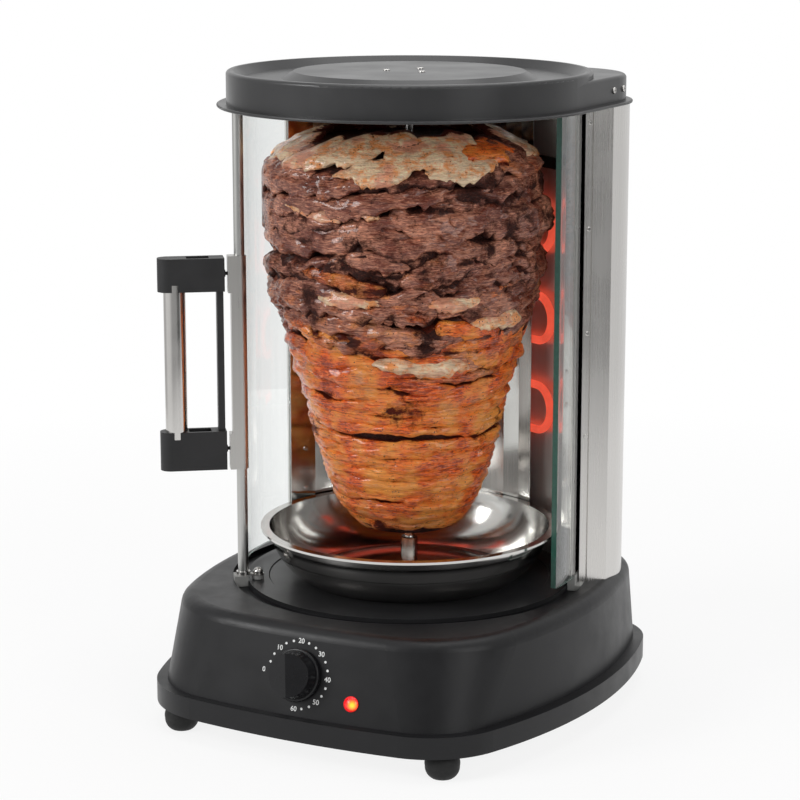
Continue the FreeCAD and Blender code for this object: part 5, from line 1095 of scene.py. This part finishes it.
class GRILL_OT_steelwork(bpy.types.Operator):
    """Finishes the sheets, rods and screws of steel and the castings"""

    bl_idname = "grill.steelwork"
    bl_label = "Steelwork"

    def execute(self, context):
        steel = context.scene.grill_colours.steel
        upright = (900, 900, 5)
        give(rolled_steel("casing_sheet", steel, 0.27, (1500, 1500, 6), 0.02, 0.000003),
             "outer_casing", "jamb_strips")
        give(rolled_steel("lining_sheet", steel, 0.13, upright, 0.05),
             "side_linings", "guard_panel", "ceiling_plate")
        give(rolled_steel("reflector_sheet", (0.72, 0.71, 0.69, 1), 0.34, upright, 0.05, metallic=0.6),
             "rear_reflector")
        give(turned_steel("tray_sheet", steel, 0.09), "drip_tray")
        give(turned_steel("bright_bar", steel, 0.12),
             "post_ring", "handle_tube", "drive_sleeve", "spit_rod", "sleeve_pin", "arm_nut")
        give(rolled_steel("satin_bar", (0.50, 0.50, 0.485, 1), 0.30, upright, 0.03),
             "door_post")
        give(rolled_steel("clip_sheet", (0.50, 0.49, 0.47, 1), 0.30, upright, 0.04),
             "handle_clip", "guide_arm")
        give(turned_steel("screw_steel", steel, 0.20),
             "bottom_screws", "foot_screws", "plate_screws", "motor_screws", "casing_screws", "jamb_rivets",
             "lining_screws", "bearing_screws", "lid_screws", "timer_screws")
        give(cast_metal("plain_sheet", (0.36, 0.36, 0.35, 1), 0.42),
             "bottom_plate", "lid_brackets", "heater_supports", "motor_can", "skewer_plate", "timer_shaft",
             "drive_shaft")
        give(cast_metal("zinc_casting", (0.42, 0.43, 0.44, 1), 0.5), "gear_case")
        give(cast_metal("bearing_bronze", (0.45, 0.28, 0.13, 1), 0.38), "shaft_bush", "bearing_cup")
        give(cast_metal("black_screw", (0.03, 0.03, 0.03, 1), 0.4), "handle_screws")
        return {"FINISHED"}


class GRILL_OT_heater(bpy.types.Operator):
    """Lights the heater and finishes its terminals and leads"""

    bl_idname = "grill.heater"
    bl_label = "Heater"

    def execute(self, context):
        give(glowing_rod("heater_glow", context.scene.grill_colours.glow), "heater_element")
        give(ceramic("terminal_ceramic"), "heater_terminals")
        give(turned_steel("lead_wire", (0.45, 0.42, 0.38, 1), 0.3), "heater_leads")
        return {"FINISHED"}


class GRILL_OT_glass(bpy.types.Operator):
    """Finishes the turning pane and the lamp's lens"""

    bl_idname = "grill.glass"
    bl_label = "Glass"

    def execute(self, context):
        colours = context.scene.grill_colours
        give(pane("pane_glass", colours.glass_edge), "door_glass")
        give(red_lens("lamp_red", colours.lamp), "lamp_lens")
        return {"FINISHED"}


# The meat's pieces from the foot up, each with the share of the height at which it ends
MEAT_ZONES = {"meat_low": 0.24, "meat_middle": 0.48, "meat_high": 0.72, "meat_top": 1.0}
# The lowest row's height above the meat's foot, and the room that the rows leave under the top
FIRST_ROW = 0.010
CROWN_ROOM = 0.024
# The share of the height at which the loose pieces start, and how much of it they take
FLAP_START = 0.05
FLAP_SPREAD = 0.88
# Seeds of the dice and of the first piece of each kind
DICE_SEED = 41
FLAP_SEED = 400
CROWN_SEED = 900
MARKED_SEED = 960


class GRILL_OT_meat(bpy.types.Operator):
    """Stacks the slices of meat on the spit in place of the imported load"""

    bl_idname = "grill.meat"
    bl_label = "Meat"

    def execute(self, context):
        look = context.scene.grill_meat
        material = meat_finish(look)
        guide = MeatGuide()
        dice = np.random.default_rng(DICE_SEED)
        heaps = {"meat_core": meat_core(guide), **{name: MeshHeap() for name in MEAT_ZONES}}

        def zone_heap(share):
            return heaps[next(zone for zone, top in MEAT_ZONES.items() if share <= top)]

        height, seed = MEAT_LOW + FIRST_ROW, 1
        while height < MEAT_HIGH - CROWN_ROOM:
            share = height_share(height)
            lay_row(zone_heap(share), guide, dice, height, seed)
            loose = looseness(share)
            height += look.low_pitch * (1 - loose) + look.high_pitch * loose
            seed += 1
        for index in range(look.flaps):
            share = FLAP_START + FLAP_SPREAD * (index + dice.random()) / look.flaps
            lay_flap(zone_heap(share), guide, dice, share, FLAP_SEED + index)
        heaps["meat_crown"] = MeshHeap()
        lay_crown(heaps["meat_crown"], guide, dice)
        lay_marked(heaps["meat_high"], guide, dice)
        paint_hollow_shade(heaps.values(), guide)
        for name, heap in heaps.items():
            piece = heap.build(name, material)
            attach(piece, "spit")
            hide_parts("meat_stack")
        return {"FINISHED"}


# The stage

FLOOR_RADIUS = 1.3
# The floor's share of plain white under the grill, and the distances over which it rises to all white
FLOOR_WHITE = 0.84
FADE_START = 0.45
FADE_END = FLOOR_RADIUS - 0.1
# What the surroundings give the object as light, where plain white is 1
SKY_LIGHT = 0.42
LAMP_TARGET = (0, 0, 0.25)
CAMERA_PLACE = (0.97708, -1.83566, 0.712)
CAMERA_TILT = math.radians(77.8)
CAMERA_TURN = math.radians(28)
# Brightness of the surroundings by bearing in degrees, 0 in front and 90 at the right: a pale
# backdrop, a dimmer front and one dark screen at the right
SCREENS = (
    (-180, 0.85), (-125, 0.95), (-108, 0.60), (-80, 0.55), (-60, 0.85), (-20, 0.78), (5, 0.42), (52, 0.34),
    (66, 0.08), (84, 0.08), (94, 0.60), (125, 0.72), (180, 0.85),
)


def aimed_lamp(name, place, size, power):
    """A square soft lamp that faces the grill."""
    light = bpy.data.lights.new(name, "AREA")
    light.shape = "RECTANGLE"
    light.size, light.size_y = size
    light.energy = power
    lamp = linked(name, light)
    lamp.location = place
    lamp.rotation_euler = (Vector(LAMP_TARGET) - Vector(place)).to_track_quat("-Z", "Y").to_euler()


class GRILL_OT_stage(bpy.types.Operator):
    """Sets the floor, the white surroundings, the lamps and the camera"""

    bl_idname = "grill.stage"
    bl_label = "Stage"

    def execute(self, context):
        look = context.scene.grill_stage
        scene = context.scene
        scene.view_settings.view_transform = "Standard"
        self.make_floor(look)
        self.make_world(scene)
        aimed_lamp("key_lamp", (-1.5, -1.9, 1.5), (1.1, 1.1), look.key_power)
        aimed_lamp("fill_lamp", (2.1, -0.9, 1.1), (1.2, 1.4), look.fill_power)
        aimed_lamp("top_lamp", (0.1, 0.3, 2.2), (1.6, 1.6), look.top_power)
        self.make_camera(scene, look)
        return {"FINISHED"}

    def make_floor(self, look):
        finish = Finish("floor")
        distance = finish.node("ShaderNodeVectorMath", {0: finish.place}, operation="LENGTH")
        whiteness = finish.ranged(distance.outputs["Value"], FADE_START, FADE_END, FLOOR_WHITE, 1.0)
        matt = finish.node("ShaderNodeBsdfDiffuse", {"Color": tuple(look.floor)})
        white = finish.node("ShaderNodeEmission", {"Color": (1, 1, 1, 1), "Strength": 1.0})
        shader = finish.node("ShaderNodeMixShader", {
            0: finish.math("MULTIPLY", finish.shown(), whiteness),
            1: matt.outputs["BSDF"], 2: white.outputs["Emission"]})
        bpy.ops.mesh.primitive_circle_add(vertices=96, radius=FLOOR_RADIUS, fill_type="NGON")
        floor = bpy.context.active_object
        floor.name = "floor"
        floor.data.materials.append(finish.done(shader.outputs["Shader"]))

    def make_world(self, scene):
        world = bpy.data.worlds.new("surroundings")
        world.use_nodes = True
        sky = NodeWork(world.node_tree)
        direction = sky.node("ShaderNodeTexCoord").outputs["Generated"]
        parts = sky.node("ShaderNodeSeparateXYZ", {"Vector": direction}).outputs
        around = sky.math("ARCTAN2", parts["X"], sky.math("MULTIPLY", parts["Y"], -1.0))
        screens = sky.node("ShaderNodeValToRGB", {"Fac": sky.ranged(around, -math.pi, math.pi)})
        elements = screens.color_ramp.elements
        for place, (bearing, brightness) in enumerate(SCREENS):
            position = bearing / 360 + 0.5
            stop = elements[place] if place < 2 else elements.new(position)
            stop.position = position
            stop.color = (brightness, brightness, brightness, 1)
        overhead = sky.ranged(parts["Z"], 0.55, 0.85)
        mirrored = sky.node("ShaderNodeMix", {0: overhead, 2: screens.outputs["Color"], 3: 0.9})
        plain = sky.ranged(sky.shown(), 0.0, 1.0, SKY_LIGHT, 1.0)
        is_glossy = sky.node("ShaderNodeLightPath").outputs["Is Glossy Ray"]
        strength = sky.node("ShaderNodeMix", {0: is_glossy, 2: plain, 3: mirrored.outputs[0]})
        background = sky.node("ShaderNodeBackground", {
            "Color": (1, 1, 1, 1), "Strength": strength.outputs[0]})
        sky.node("ShaderNodeOutputWorld", {"Surface": background.outputs["Background"]})
        scene.world = world

    def make_camera(self, scene, look):
        data = bpy.data.cameras.new("camera")
        data.sensor_width = 36
        data.lens = look.lens
        data.clip_end = 50
        camera = linked("camera", data)
        camera.location = CAMERA_PLACE
        camera.rotation_euler = (CAMERA_TILT, 0, CAMERA_TURN)
        scene.camera = camera


class GRILL_PT_sidebar(bpy.types.Panel):
    """Lists the grill's pieces and stage"""

    bl_idname = "GRILL_PT_sidebar"
    bl_label = "Vertical Rotisserie Grill"
    bl_space_type = "VIEW_3D"
    bl_region_type = "UI"
    bl_category = "Grill"

    def draw(self, context):
        for operator in OPERATORS:
            self.layout.operator(operator.bl_idname)
        for name in SETTINGS:
            group = getattr(context.scene, name)
            box = self.layout.box()
            for field in group.__annotations__:
                box.prop(group, field)


OPERATORS = (
    GRILL_OT_stage, GRILL_OT_mouldings, GRILL_OT_paintwork, GRILL_OT_steelwork, GRILL_OT_heater,
    GRILL_OT_glass, GRILL_OT_timer_dots, GRILL_OT_timer_numbers, GRILL_OT_meat,
)
SETTINGS = {
    "grill_colours": GrillColours, "grill_meat": GrillMeat, "grill_dial": GrillDial,
    "grill_stage": GrillStage,
}


def register():
    for group in (*SETTINGS.values(), *OPERATORS, GRILL_PT_sidebar):
        bpy.utils.register_class(group)
    for name, group in SETTINGS.items():
        setattr(bpy.types.Scene, name, PointerProperty(type=group))


def unregister():
    for name in SETTINGS:
        delattr(bpy.types.Scene, name)
    for group in (GRILL_PT_sidebar, *OPERATORS, *SETTINGS.values()):
        bpy.utils.unregister_class(group)


def main():
    """Makes every piece in order."""
    register()
    for operator in OPERATORS:
        category, name = operator.bl_idname.split(".")
        getattr(getattr(bpy.ops, category), name)()


if __name__ == "__main__":
    main()
